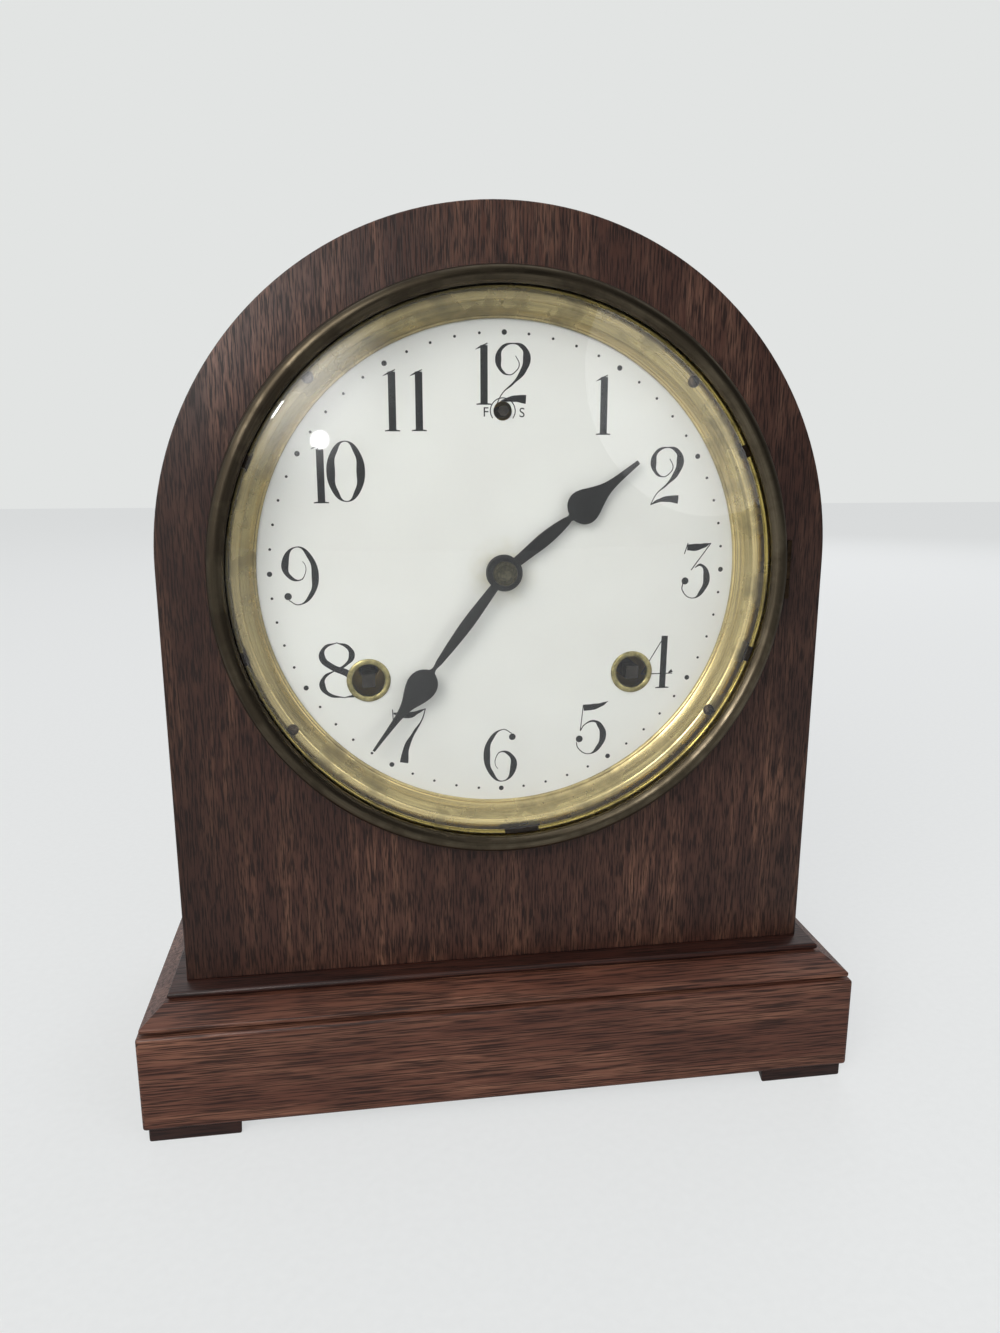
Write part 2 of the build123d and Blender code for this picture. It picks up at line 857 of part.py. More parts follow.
with BuildPart() as hand_nut:
    nut_front = minute_hand_depth - hand_nut_height
    arbor_front = nut_front + hand_nut_height / 2
    bar(centre_place, nut_front, minute_hand_depth, hand_nut_radius, sides=knob_sides)
    chamfer(hand_nut.faces().sort_by(Axis.Y)[0].edges(), hand_nut_height / 4)
    bar(
        centre_place, arbor_front, minute_hand_depth, centre_arbor_radius, Mode.SUBTRACT, small_sides
    )
save(hand_nut, "hand_nut")

# Movement plates, pillars and the legs that hold the movement to the front panel
arbor_places = {
    "centre": (centre_place, centre_arbor_radius),
    "time": (time_place, winding_arbor_radius),
    "strike": (strike_place, winding_arbor_radius),
    "second": (second_place, slim_arbor_radius),
    "third": (third_place, fine_arbor_radius),
    "escape": (escape_place, fine_arbor_radius),
    "regulator": (regulator_place, regulator_radius),
    "strike second": (strike_second_place, slim_arbor_radius),
    "strike third": (strike_third_place, fine_arbor_radius),
    "fly": (fly_place, fine_arbor_radius),
    "hammer": (hammer_place, slim_arbor_radius),
}


def movement_plate(front):
    """A brass plate bored for the arbors."""
    with BuildSketch(layer(front + plate_thickness)) as outline:
        with Locations((0, (plate_top - plate_bottom) / 2)):
            plate = Rectangle(2 * plate_half_width, plate_top + plate_bottom)
        chamfer(plate.vertices(), plate_round)
        for at, radius in arbor_places.values():
            with Locations(at):
                RegularPolygon(radius + running_gap, small_sides, major_radius=False, mode=Mode.SUBTRACT)
    extrude(outline.sketch, amount=plate_thickness)


with BuildPart() as front_plate:
    movement_plate(front_plate_depth)
    bar(minute_place, panel_thickness, front_plate_depth, stud_radius, sides=small_sides)
save(front_plate, "front_plate")

with BuildPart() as back_plate:
    movement_plate(back_plate_depth)
    for at in pillar_places:
        bar(at, back_plate_depth, back_plate_back_depth, pillar_neck_radius, Mode.SUBTRACT, small_sides)
    verge_stud_back = verge_depth + verge_thickness + crutch_thickness + 2 * overrun
    bar(verge_place, back_plate_back_depth, verge_stud_back, verge_stud_radius, sides=small_sides)
save(back_plate, "back_plate")

leg_front = panel_thickness
with BuildPart() as pillars:
    for at in pillar_places:
        neck_back = back_plate_back_depth + pillar_nut_height
        bar(at, plate_back_depth, back_plate_depth, pillar_radius, sides=small_sides)
        bar(at, back_plate_depth, neck_back, pillar_neck_radius - running_gap, sides=small_sides)
save(pillars, "pillars")

with BuildPart() as pillar_nuts:
    with BuildSketch(layer(back_plate_back_depth + pillar_nut_height)):
        with Locations(*pillar_places):
            RegularPolygon(pillar_nut_radius, 6)
            RegularPolygon(pillar_neck_radius, small_sides, major_radius=False, mode=Mode.SUBTRACT)
    extrude(amount=pillar_nut_height)
save(pillar_nuts, "pillar_nuts")

with BuildPart() as mounting_legs:
    for at in pillar_places:
        bar(at, leg_front, leg_front + leg_flange_thickness, leg_flange_radius, sides=small_sides)
        bar(at, leg_front, front_plate_depth, leg_radius, sides=small_sides)
save(mounting_legs, "mounting_legs")

# Going train, from the mainspring to the escape wheel
main_phase, second_pinion_phase = mesh_phases(time_place, second_place, second_pinion_teeth)
second_phase, centre_pinion_phase = mesh_phases(second_place, centre_place, centre_pinion_teeth)
centre_phase, third_pinion_phase = mesh_phases(centre_place, third_place, third_pinion_teeth)
third_phase, escape_pinion_phase = mesh_phases(third_place, escape_place, escape_pinion_teeth)
cannon_phase, minute_phase = mesh_phases(centre_place, minute_place, minute_teeth)
minute_pinion_phase, hour_phase = mesh_phases(minute_place, centre_place, hour_teeth)
main_pinion_front = main_wheel_depth - (pinion_length - main_wheel_thickness) / 2
pinion_lead = (pinion_length - wheel_thickness) / 2


def winding_arbor(at):
    """A thick arbor with a ratchet wheel and a square front end for a key."""
    ratchet_front = main_wheel_depth + main_wheel_thickness + fit_gap
    square_back = front_plate_depth - overrun
    bar(at, square_back, back_plate_back_depth + overrun, winding_arbor_radius, sides=small_sides)
    block(at, winding_arbor_front_depth, square_back, winding_square, winding_square)
    points = []
    for tooth in range(ratchet_teeth):
        start = 360 * tooth / ratchet_teeth
        end = 360 * (tooth + 1) / ratchet_teeth
        points.append(from_place((0, 0), ratchet_radius, start))
        points.append(from_place((0, 0), ratchet_radius - ratchet_tooth_height, end))
    with BuildSketch(layer(ratchet_front + ratchet_thickness)) as ratchet:
        with Locations(at):
            Polygon(*points, align=None)
    extrude(ratchet.sketch, amount=ratchet_thickness)


def main_wheel(at, teeth, phase):
    """A great wheel that turns on its winding arbor."""
    toothed(at, main_wheel_depth, main_wheel_thickness, teeth, main_module, phase)
    bar(
        at,
        main_wheel_depth,
        main_wheel_depth + main_wheel_thickness,
        winding_arbor_radius + running_gap,
        Mode.SUBTRACT,
        small_sides,
    )
    root = main_module * (teeth / 2 - tooth_dedendum_share)
    crossings(
        at, main_wheel_depth, main_wheel_thickness, root, ratchet_radius + click_width + overrun, 5
    )


def click(at):
    """A click on the main wheel, its nose just clear of the ratchet's teeth."""
    front = main_wheel_depth + main_wheel_thickness
    pivot = from_place(at, ratchet_radius + fit_gap + click_width / 2, 90)
    with BuildSketch(layer(front + ratchet_thickness)) as outline:
        with Locations(pivot):
            RegularPolygon(click_width / 2, small_sides)
            Rectangle(click_length, click_width * 2 / 3, align=(Align.MIN, Align.CENTER))
        with Locations(at):
            RegularPolygon(ratchet_radius + fit_gap, knob_sides, major_radius=False, mode=Mode.SUBTRACT)
    extrude(outline.sketch, amount=ratchet_thickness)


with BuildPart() as time_main_wheel:
    main_wheel(time_place, main_teeth, main_phase)
save(time_main_wheel, "time_main_wheel")

with BuildPart() as time_click:
    click(time_place)
save(time_click, "time_click")

with BuildPart() as time_winding_arbor:
    winding_arbor(time_place)
save(time_winding_arbor, "time_winding_arbor")

with BuildPart() as time_mainspring:
    coil(
        time_place,
        mainspring_depth,
        mainspring_height,
        mainspring_inner_radius,
        mainspring_outer_radius,
        mainspring_turns,
        mainspring_strip,
    )
save(time_mainspring, "time_mainspring")

with BuildPart() as time_second_arbor:
    bar(second_place, front_plate_depth, back_plate_back_depth, slim_arbor_radius, sides=small_sides)
    toothed(
        second_place,
        main_pinion_front,
        pinion_length,
        second_pinion_teeth,
        main_module,
        second_pinion_phase,
    )
    toothed(
        second_place, second_wheel_depth, wheel_thickness, second_teeth, second_module, second_phase
    )
save(time_second_arbor, "time_second_arbor")

with BuildPart() as centre_arbor:
    bar(centre_place, arbor_front, back_plate_back_depth, centre_arbor_radius, sides=small_sides)
    toothed(
        centre_place,
        second_wheel_depth - pinion_lead,
        pinion_length,
        centre_pinion_teeth,
        second_module,
        centre_pinion_phase,
    )
    toothed(
        centre_place, centre_wheel_depth, wheel_thickness, centre_teeth, centre_module, centre_phase
    )
    root = centre_module * (centre_teeth / 2 - tooth_dedendum_share)
    crossings(centre_place, centre_wheel_depth, wheel_thickness, root, arbor_collar_radius, 4)
    cannon_front = minute_wheel_depth - fit_gap
    toothed(
        centre_place,
        cannon_front,
        wheel_thickness + 2 * fit_gap,
        cannon_teeth,
        minute_module,
        cannon_phase,
    )
save(centre_arbor, "centre_arbor")

with BuildPart() as minute_wheel:
    minute_pinion_front = hour_wheel_depth - fit_gap
    toothed(
        minute_place,
        minute_wheel_depth,
        wheel_thickness,
        minute_teeth,
        minute_module,
        minute_phase,
    )
    toothed(
        minute_place,
        minute_pinion_front,
        minute_wheel_depth - minute_pinion_front,
        minute_pinion_teeth,
        hour_module,
        minute_pinion_phase,
    )
    bar(
        minute_place,
        minute_pinion_front,
        minute_wheel_depth + wheel_thickness,
        stud_radius + running_gap,
        Mode.SUBTRACT,
        small_sides,
    )
save(minute_wheel, "minute_wheel")

with BuildPart() as hour_wheel:
    toothed(
        centre_place, hour_wheel_depth, wheel_thickness, hour_teeth, hour_module, hour_phase
    )
    bar(
        centre_place,
        hour_hand_depth,
        hour_wheel_depth,
        hour_pipe_radius,
        sides=knob_sides,
    )
    bar(
        centre_place,
        hour_hand_depth,
        hour_wheel_depth + wheel_thickness,
        hour_pipe_bore,
        Mode.SUBTRACT,
        small_sides,
    )
save(hour_wheel, "hour_wheel")

with BuildPart() as third_arbor:
    bar(third_place, front_plate_depth, back_plate_back_depth, fine_arbor_radius, sides=small_sides)
    toothed(
        third_place,
        centre_wheel_depth - pinion_lead,
        pinion_length,
        third_pinion_teeth,
        centre_module,
        third_pinion_phase,
    )
    toothed(third_place, third_wheel_depth, wheel_thickness, third_teeth, third_module, third_phase)
    root = third_module * (third_teeth / 2 - tooth_dedendum_share)
    crossings(third_place, third_wheel_depth, wheel_thickness, root, arbor_collar_radius, 4)
save(third_arbor, "third_arbor")

with BuildPart() as escape_arbor:
    escape_back = escape_wheel_depth + escape_wheel_thickness
    bar(escape_place, front_plate_depth, escape_back + overrun, fine_arbor_radius, sides=small_sides)
    toothed(
        escape_place,
        third_wheel_depth - pinion_lead,
        pinion_length,
        escape_pinion_teeth,
        third_module,
        escape_pinion_phase,
    )
    points = []
    for tooth in range(escape_teeth):
        step = 360 / escape_teeth
        start = step * tooth
        points.append(from_place((0, 0), escape_radius, start))
        points.append(from_place((0, 0), escape_radius - escape_tooth_height, start + step / 5))
    with BuildSketch(layer(escape_back)):
        with Locations(escape_place):
            Polygon(*points, align=None)
    extrude(amount=escape_wheel_thickness)
save(escape_arbor, "escape_arbor")

# Verge: a bent strip with two pallets over the escape wheel, and the crutch behind it
with BuildPart() as verge:
    drop = verge_height - escape_height
    reach = escape_radius + verge_clearance
    with BuildSketch(layer(verge_depth + verge_thickness)):
        with Locations(verge_place):
            RegularPolygon(verge_hub_radius, small_sides)
        with Locations(escape_place):
            RegularPolygon(reach + pallet_width, knob_sides, major_radius=False)
            RegularPolygon(reach, knob_sides, major_radius=False, mode=Mode.SUBTRACT)
        with BuildLine():
            far = 2 * escape_radius
            left = from_place(escape_place, far, 90 + pallet_reach_angle)
            right = from_place(escape_place, far, 90 - pallet_reach_angle)
            above = [(left[0], left[1] + far), (right[0], right[1] + far)]
            Polyline(escape_place, left, *above, right, close=True)
        make_face(mode=Mode.INTERSECT)
        with Locations((0, escape_height + reach + pallet_width / 2)):
            Rectangle(pallet_width * 2, drop - reach, align=(Align.CENTER, Align.MIN))
        with Locations(verge_place):
            RegularPolygon(verge_hub_radius, small_sides)
    extrude(amount=verge_thickness)
    crutch_back = crutch_depth + crutch_thickness
    with BuildSketch(layer(crutch_back)):
        with Locations(verge_place):
            Rectangle(crutch_width, crutch_length, align=(Align.CENTER, Align.MAX))
    extrude(amount=crutch_thickness)
    bar(verge_place, verge_depth + verge_thickness, crutch_back, verge_hub_radius, sides=small_sides)
    bar(verge_place, verge_depth, crutch_back, verge_stud_radius + running_gap, Mode.SUBTRACT, small_sides)
    foot_height_on_crutch = verge_height - crutch_length + crutch_width / 2
    fork_back = pendulum_depth + pendulum_rod_radius + crutch_width
    fork_half = pendulum_rod_radius + fit_gap
    for side in (-1, 1):
        block(
            (side * (fork_half + crutch_thickness / 2), foot_height_on_crutch),
            crutch_depth,
            fork_back,
            crutch_thickness,
            crutch_width,
        )
    block(
        (0, foot_height_on_crutch),
        crutch_depth,
        crutch_back,
        2 * (fork_half + crutch_thickness),
        crutch_width,
    )
    block(
        (0, foot_height_on_crutch),
        fork_back - crutch_thickness,
        fork_back,
        2 * (fork_half + crutch_thickness),
        crutch_width,
    )
save(verge, "verge")

# Suspension cock: a foot on the back plate, an arm over the regulator, and the clamp of the strip
with BuildPart() as suspension_cock:
    foot_middle = (cock_foot_bottom + cock_foot_top) / 2
    jaw_back = pendulum_depth + cock_jaw_width / 2
    block(
        (0, foot_middle),
        back_plate_back_depth,
        back_plate_back_depth + cock_thickness,
        2 * cock_half_width,
        cock_foot_top - cock_foot_bottom,
    )
    block(
        (0, cock_foot_bottom + cock_thickness / 2),
        back_plate_back_depth,
        jaw_back,
        2 * cock_half_width,
        cock_thickness,
    )
    block(
        (0, (cock_foot_bottom + verge_height) / 2),
        pendulum_depth - cock_jaw_width / 2,
        jaw_back,
        cock_jaw_width,
        cock_foot_bottom - verge_height,
    )
save(suspension_cock, "suspension_cock")

# Pendulum
with BuildPart() as pendulum_rod:
    strip_top = verge_height - fit_gap
    strip_bottom = strip_top - suspension_strip_length
    rod_bottom = verge_height - pendulum_length - bob_radius - rating_nut_height - overrun
    level_block(
        -suspension_strip_thickness / 2,
        suspension_strip_thickness / 2,
        pendulum_depth - suspension_strip_width / 2,
        pendulum_depth + suspension_strip_width / 2,
        strip_bottom,
        strip_top,
    )
    upright(0, pendulum_depth, rod_bottom, strip_bottom, pendulum_rod_radius)
save(pendulum_rod, "pendulum_rod")

bob_height = verge_height - pendulum_length
with BuildPart() as pendulum_bob:
    bar(
        (0, bob_height),
        pendulum_depth - bob_thickness / 2,
        pendulum_depth + bob_thickness / 2,
        bob_radius,
        sides=collar_sides,
    )
    chamfer(pendulum_bob.edges().filter_by(Axis.Y, reverse=True), bob_round, bob_thickness / 4)
    upright(
        0,
        pendulum_depth,
        bob_height - bob_radius - overrun,
        bob_height + bob_radius + overrun,
        pendulum_rod_radius,
        Mode.SUBTRACT,
    )
save(pendulum_bob, "pendulum_bob")

with BuildPart() as rating_nut:
    nut_top = bob_height - bob_radius
    upright(0, pendulum_depth, nut_top - rating_nut_height, nut_top, rating_nut_radius)
    upright(0, pendulum_depth, nut_top - rating_nut_height, nut_top, pendulum_rod_radius, Mode.SUBTRACT)
save(rating_nut, "rating_nut")

with BuildPart() as regulator_arbor:
    bar(regulator_place, regulator_front_depth, regulator_back_depth, regulator_radius, sides=small_sides)
    bar(
        regulator_place,
        regulator_back_depth - regulator_knob_length,
        regulator_back_depth,
        regulator_knob_radius,
        sides=small_sides,
    )
    block(
        regulator_place,
        regulator_front_depth,
        regulator_front_depth + screw_slot_depth,
        2 * regulator_radius,
        screw_slot_width,
        Mode.SUBTRACT,
    )
save(regulator_arbor, "regulator_arbor")

# Strike train
strike_main_phase, strike_second_pinion_phase = mesh_phases(
    strike_place, strike_second_place, strike_second_pinion_teeth
)
strike_second_phase, strike_third_pinion_phase = mesh_phases(
    strike_second_place, strike_third_place, strike_third_pinion_teeth
)
strike_third_phase, fly_pinion_phase = mesh_phases(strike_third_place, fly_place, fly_pinion_teeth)

with BuildPart() as strike_main_wheel:
    main_wheel(strike_place, strike_main_teeth, strike_main_phase)
save(strike_main_wheel, "strike_main_wheel")

with BuildPart() as strike_click:
    click(strike_place)
save(strike_click, "strike_click")

with BuildPart() as strike_winding_arbor:
    winding_arbor(strike_place)
save(strike_winding_arbor, "strike_winding_arbor")

with BuildPart() as strike_mainspring:
    coil(
        strike_place,
        mainspring_depth,
        mainspring_height,
        mainspring_inner_radius,
        mainspring_outer_radius,
        mainspring_turns,
        mainspring_strip,
    )
save(strike_mainspring, "strike_mainspring")

with BuildPart() as strike_second_arbor:
    bar(strike_second_place, front_plate_depth, back_plate_back_depth, slim_arbor_radius, sides=small_sides)
    toothed(
        strike_second_place,
        main_pinion_front,
        pinion_length,
        strike_second_pinion_teeth,
        main_module,
        strike_second_pinion_phase,
    )
    toothed(
        strike_second_place,
        second_wheel_depth,
        wheel_thickness,
        strike_second_teeth,
        strike_second_module,
        strike_second_phase,
    )
    pin_ring = strike_second_module * strike_second_teeth / 2 - rim_width
    with BuildSketch(layer(second_wheel_depth)):
        with Locations(strike_second_place):
            with PolarLocations(pin_ring, lifting_pin_count):
                RegularPolygon(lifting_pin_radius, small_sides)
    extrude(amount=lifting_pin_length)
save(strike_second_arbor, "strike_second_arbor")

with BuildPart() as strike_third_arbor:
    bar(strike_third_place, front_plate_depth, back_plate_back_depth, fine_arbor_radius, sides=small_sides)
    toothed(
        strike_third_place,
        second_wheel_depth - pinion_lead,
        pinion_length,
        strike_third_pinion_teeth,
        strike_second_module,
        strike_third_pinion_phase,
    )
    toothed(
        strike_third_place,
        strike_third_wheel_depth,
        wheel_thickness,
        strike_third_teeth,
        strike_third_module,
        strike_third_phase,
    )
save(strike_third_arbor, "strike_third_arbor")

with BuildPart() as fly:
    bar(fly_place, front_plate_depth, back_plate_back_depth, fine_arbor_radius, sides=small_sides)
    toothed(
        fly_place,
        strike_third_wheel_depth - pinion_lead,
        pinion_length,
        fly_pinion_teeth,
        strike_third_module,
        fly_pinion_phase,
    )
    block(fly_place, fly_depth, fly_depth + fly_length, 2 * fly_half_width, fly_thickness)
    bar(fly_place, fly_depth, fly_depth + fly_length, fine_arbor_radius + fly_thickness, sides=small_sides)
save(fly, "fly")

# Hammer, coiled gong and its stand
with BuildPart() as hammer:
    arm_depth = gong_depth + gong_wire_depth / 2
    head_place = from_place(hammer_place, hammer_arm_length, hammer_arm_angle)
    collar_back = arm_depth + hammer_collar_radius
    bar(hammer_place, front_plate_depth, arm_depth, slim_arbor_radius, sides=small_sides)
    bar(
        hammer_place,
        arm_depth - hammer_collar_radius,
        collar_back,
        hammer_collar_radius,
        sides=small_sides,
    )
    arm_start = Vector(hammer_place[0], panel_front + arm_depth, dial_height + hammer_place[1])
    arm_end = Vector(head_place[0], panel_front + arm_depth, dial_height + head_place[1])
    with BuildSketch(Plane(origin=arm_start, z_dir=arm_end - arm_start)):
        RegularPolygon(hammer_arm_radius, small_sides)
    extrude(amount=hammer_arm_length)
    with BuildSketch(Plane.YZ.offset(head_place[0] - hammer_head_length / 2)):
        with Locations((panel_front + arm_depth, dial_height + head_place[1])):
            RegularPolygon(hammer_head_radius, knob_sides)
    extrude(amount=hammer_head_length)
save(hammer, "hammer")

gong_place = (0, gong_height)
with BuildPart() as gong_coil:
    coil(
        gong_place,
        gong_depth,
        gong_wire_depth,
        gong_inner_radius,
        gong_outer_radius,
        gong_turns,
        gong_wire,
    )
save(gong_coil, "gong_coil")

with BuildPart() as gong_stand:
    post_front = gong_depth + gong_wire_depth
    floor = base_top_height - dial_height
    level_block(
        -gong_block_width / 2,
        gong_block_width / 2,
        post_front - gong_block_depth / 2,
        post_front + gong_block_depth / 2,
        floor,
        floor + gong_block_height,
    )
    level_block(
        -gong_inner_radius - gong_post_width / 2,
        -gong_inner_radius + gong_post_width / 2,
        post_front,
        post_front + gong_post_depth,
        floor,
        gong_height + gong_inner_radius,
    )
save(gong_stand, "gong_stand")

# Back door with its hinges, knob and turn button
hinge_side = door_width / 2
door_axis_side = hinge_side + door_gap / 2
door_axis_depth = case_depth + door_hinge_axis_out
with BuildPart() as back_door:
    with BuildSketch(layer(case_depth)):
        with Locations((0, door_bottom_height + door_gap - dial_height)):
            Rectangle(
                door_width - 2 * door_gap,
                door_spring + dial_height - door_bottom_height - door_gap,
                align=(Align.CENTER, Align.MIN),
            )
        with Locations((0, door_spring)):
            Circle(door_width / 2 - door_gap)
    extrude(amount=door_thickness)
    knob_place = (-door_width / 2 + 2 * door_knob_radius, door_middle)
    shank_radius = door_knob_neck_radius / 2
    bar(knob_place, case_depth - door_thickness, case_depth, shank_radius, Mode.SUBTRACT, small_sides)
save(back_door, "back_door")

door_hinge_heights = [
    door_bottom_height + share * (door_top_height - door_bottom_height) - dial_height
    for share in door_hinge_height_shares
]


def door_hinge(moving):
    """One side of the door's hinges: a middle knuckle on the door, outer knuckles on the panel."""
    for height in door_hinge_heights:
        half = door_knuckle_length / 2
        spans = [(-half, half)]
        if not moving:
            start = half + fit_gap
            spans = [(-start - 2 * half, -start), (start, start + 2 * half)]
        for low, high in spans:
            upright(door_axis_side, door_axis_depth, height + low, height + high, door_knuckle_radius)
            edges = (door_axis_side - door_leaf_width, door_axis_side)
            if not moving:
                edges = (door_axis_side, door_axis_side + door_leaf_width)
            level_block(
                edges[0],
                edges[1],
                case_depth,
                case_depth + door_leaf_thickness,
                height + low,
                height + high,
            )
        reach = 3 * half + fit_gap
        pin_radius = door_pin_radius if moving else door_pin_radius + running_gap
        mode = Mode.ADD if moving else Mode.SUBTRACT
        upright(door_axis_side, door_axis_depth, height - reach, height + reach, pin_radius, mode)


with BuildPart() as door_hinge_leaves:
    door_hinge(True)
save(door_hinge_leaves, "door_hinge_leaves")

with BuildPart() as panel_hinge_leaves:
    door_hinge(False)
save(panel_hinge_leaves, "panel_hinge_leaves")

with BuildPart() as door_knob:
    knob_front = case_depth + door_knob_length / 3
    knob_back = case_depth + door_knob_length
    bar(knob_place, case_depth - door_thickness, case_depth, shank_radius - running_gap, sides=small_sides)
    bar(knob_place, case_depth, knob_front, door_knob_neck_radius, sides=small_sides)
    bar(knob_place, knob_front, knob_back, door_knob_radius, sides=knob_sides)
    chamfer(door_knob.faces().sort_by(Axis.Y)[-1].edges(), door_knob_length / 4)
save(door_knob, "door_knob")

with BuildPart() as turn_button:
    button_front = case_depth + button_gap
    button_back = button_front + button_thickness
    with BuildSketch(layer(button_back)):
        with Locations(button_place):
            blank = Rectangle(button_width, button_length)
            chamfer(blank.vertices(), button_width / 4)
            RegularPolygon(
                button_screw_radius + running_gap, small_sides, major_radius=False, mode=Mode.SUBTRACT
            )
    extrude(amount=button_thickness)
save(turn_button, "turn_button")

with BuildPart() as button_screw:
    head_front = button_back + running_gap
    head_back = head_front + button_thickness
    bar(button_place, back_depth, head_front, button_screw_radius - running_gap, sides=small_sides)
    bar(button_place, head_front, head_back, button_screw_head_radius, sides=knob_sides)
save(button_screw, "button_screw")
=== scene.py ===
import bmesh
import bpy
from math import cos, pi, radians, sin, sqrt
from mathutils import Matrix, Vector


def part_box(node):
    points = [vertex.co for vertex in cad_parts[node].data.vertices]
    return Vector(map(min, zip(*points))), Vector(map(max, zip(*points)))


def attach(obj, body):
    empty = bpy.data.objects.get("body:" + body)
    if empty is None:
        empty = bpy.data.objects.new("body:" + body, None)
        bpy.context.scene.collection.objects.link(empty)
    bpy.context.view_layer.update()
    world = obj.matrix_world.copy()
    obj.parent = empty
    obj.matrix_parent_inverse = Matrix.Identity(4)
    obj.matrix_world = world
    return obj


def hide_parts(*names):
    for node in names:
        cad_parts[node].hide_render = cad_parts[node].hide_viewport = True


# A beehive shelf clock: its cabinet, bezel, dial and hands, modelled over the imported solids.
# Lengths are in millimetres, and MM turns them to metres. Depths run back from the panel's face.

MM = 0.001

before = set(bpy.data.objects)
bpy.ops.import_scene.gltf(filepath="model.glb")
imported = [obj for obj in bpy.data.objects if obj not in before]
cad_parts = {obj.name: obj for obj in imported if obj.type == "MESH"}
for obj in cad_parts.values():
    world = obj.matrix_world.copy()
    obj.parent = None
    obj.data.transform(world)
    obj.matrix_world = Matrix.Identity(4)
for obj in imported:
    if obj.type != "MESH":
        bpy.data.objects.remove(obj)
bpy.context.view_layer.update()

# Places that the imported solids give
panel_low, panel_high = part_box("front_panel")
band_low, band_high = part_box("case_band")
back_low, back_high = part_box("back_panel")
dial_low, dial_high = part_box("dial_plate")
plinth_low, plinth_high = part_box("plinth_frame")
moulding_low, moulding_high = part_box("base_moulding")
dial_height = (dial_low.z + dial_high.z) / 2 / MM
case_half_width = panel_high.x / MM
case_top = panel_high.z / MM
arch_height = case_top - case_half_width
base_top = panel_low.z / MM
panel_thickness = (panel_high.y - panel_low.y) / MM

# Camera
focal_length = 943.3
frame_long_side = 1333
sensor_side = 36.0
camera_place = (-43.8, -333.5, 210.3)
camera_turn = 8.34
camera_tilt = -12.44

# Cabinet
movement_opening_radius = 66
dial_recess_radius = 80.2
dial_recess_depth = 6.6
board_edge_round = 0.7
band_wall = 5
band_foot_gap = 0.01
back_edge_round = 0.6
door_edge_round = 0.5
door_opening_half_width = 65
door_opening_foot = 60
door_opening_spring = 173
overrun = 1
hair = 0.05

# Base, with each inset as (from the front, from the side)
groove_height = 0.9
groove_insets = (3.2, 3.2)
fillet_height = 1.2
slope_height = 4.0
slope_foot_insets = (1.6, 1.0)
slope_top_insets = (9.8, 7.4)
nose_radius = 1.2
nose_insets = (12.2, 9.2)
moulding_edge_round = 0.3
plinth_wall = 12
plinth_edge_round = 1.0
foot_length = 23
foot_slope = 5.5
foot_depth = 24
foot_edge_round = 0.7
corners = ((-1, -1), (1, -1), (1, 1), (-1, 1))

# Bezel
ring_steps = 192
bezel_foot_radius = 89.3
bezel_foot_front = -1.8
bezel_foot_ease = (0.3, 0.4)
bezel_neck_inset = 0.3
bezel_neck_fronts = (-2.6, -3.0)
bezel_wall_radius = 88.5
bezel_crest_radius = 2.65
bezel_crest_front = -9.4
bezel_crest_sweep = -150
bezel_lip_radius = 83.3
bezel_lip_front = -8.0
bezel_wall = 1.0
bezel_inside_radii = (85.4, 86.5)
bezel_back = -0.3

# Glass, and the ring that holds it, with its slots as (share of a turn, length)
glass_radius = 84.9
glass_dome_radius = 82.6
glass_back = -5.2
glass_thickness = 1.8
glass_rise = 9.5
glass_shares = (1, 0.97, 0.92, 0.86, 0.79, 0.71, 0.62, 0.52, 0.42, 0.31, 0.2, 0.1, 0.03)
sash_bead_radius = 0.9
sash_bead_ring = 82.85
sash_bead_depth = -4.1
sash_slots = ((0.176, 4), (0.302, 5), (0.491, 11), (0.704, 4), (0.817, 4))
slot_cutter_size = 4
tab_overlap = 1.5
tab_metal = 0.4
tab_width = 2.4
tab_setback = 1
tab_edge_round = 0.12
flange_radii = (83.6, 85.2)
flange_depths = (-4.6, -4.2)

# Reflector between dial and bezel, with its profiles as (radius, depth)
surround_lip_radius = 75.3
surround_lip_roll = 0.55
surround_back = 5.9
surround_shoulder_radius = 79.4
surround_shoulder_roll = 1.1
surround_shoulder_depth = 0.5
surround_outer_radius = 85.8
surround_front = -0.6
surround_cone_foot = (76.7, 4.75)
surround_hidden_side = [(80.6, 0), (80.0, 0.7), (77.2, 5.9)]
screw_ring_radius = 81.2
screw_shares = (0.125, 0.345, 0.652, 0.875)
screw_turns = (62, 75, 20, 105)
screw_profile = [(0.3, -1.62), (0.8, -1.56), (1.3, -1.38), (1.62, -1.1), (1.8, -0.75), (1.8, -0.58)]
screw_slot = (6, 0.9, 0.55)
screw_slot_depth = -1.6

# Dial
dial_radius = 77.5
dial_face = 6.0
dial_thickness = 0.6
dial_turn = 0.34
centre_hole_radius = 4.2
winding_place = (42.7, -33.6)
grommet_radius = 6.9
grommet_hole_radius = 5.1
grommet_profile = [(6.9, 6.0), (6.8, 5.62), (6.45, 5.42), (6.0, 5.36), (5.55, 5.44), (5.2, 5.68)]
grommet_tube = [(5.1, 6.1), (5.1, 7.4), (5.5, 7.4), (5.5, 6.0), (6.9, 6.0)]
grommet_seat_gap = 0.5
grommet_cover = 0.7
regulator_height = 48.8
regulator_hole_radius = 2.85
dot_ring_radius = 71.5
hour_dot_radius = 0.8
minute_dot_radius = 0.42
figure_height = 18.0
ink = 0.03
ink_sunk_share = 0.7
regulator_letters = (("F", -5.2, 48.3), ("S", 5.9, 48.2))
regulator_letter_height = 4.0

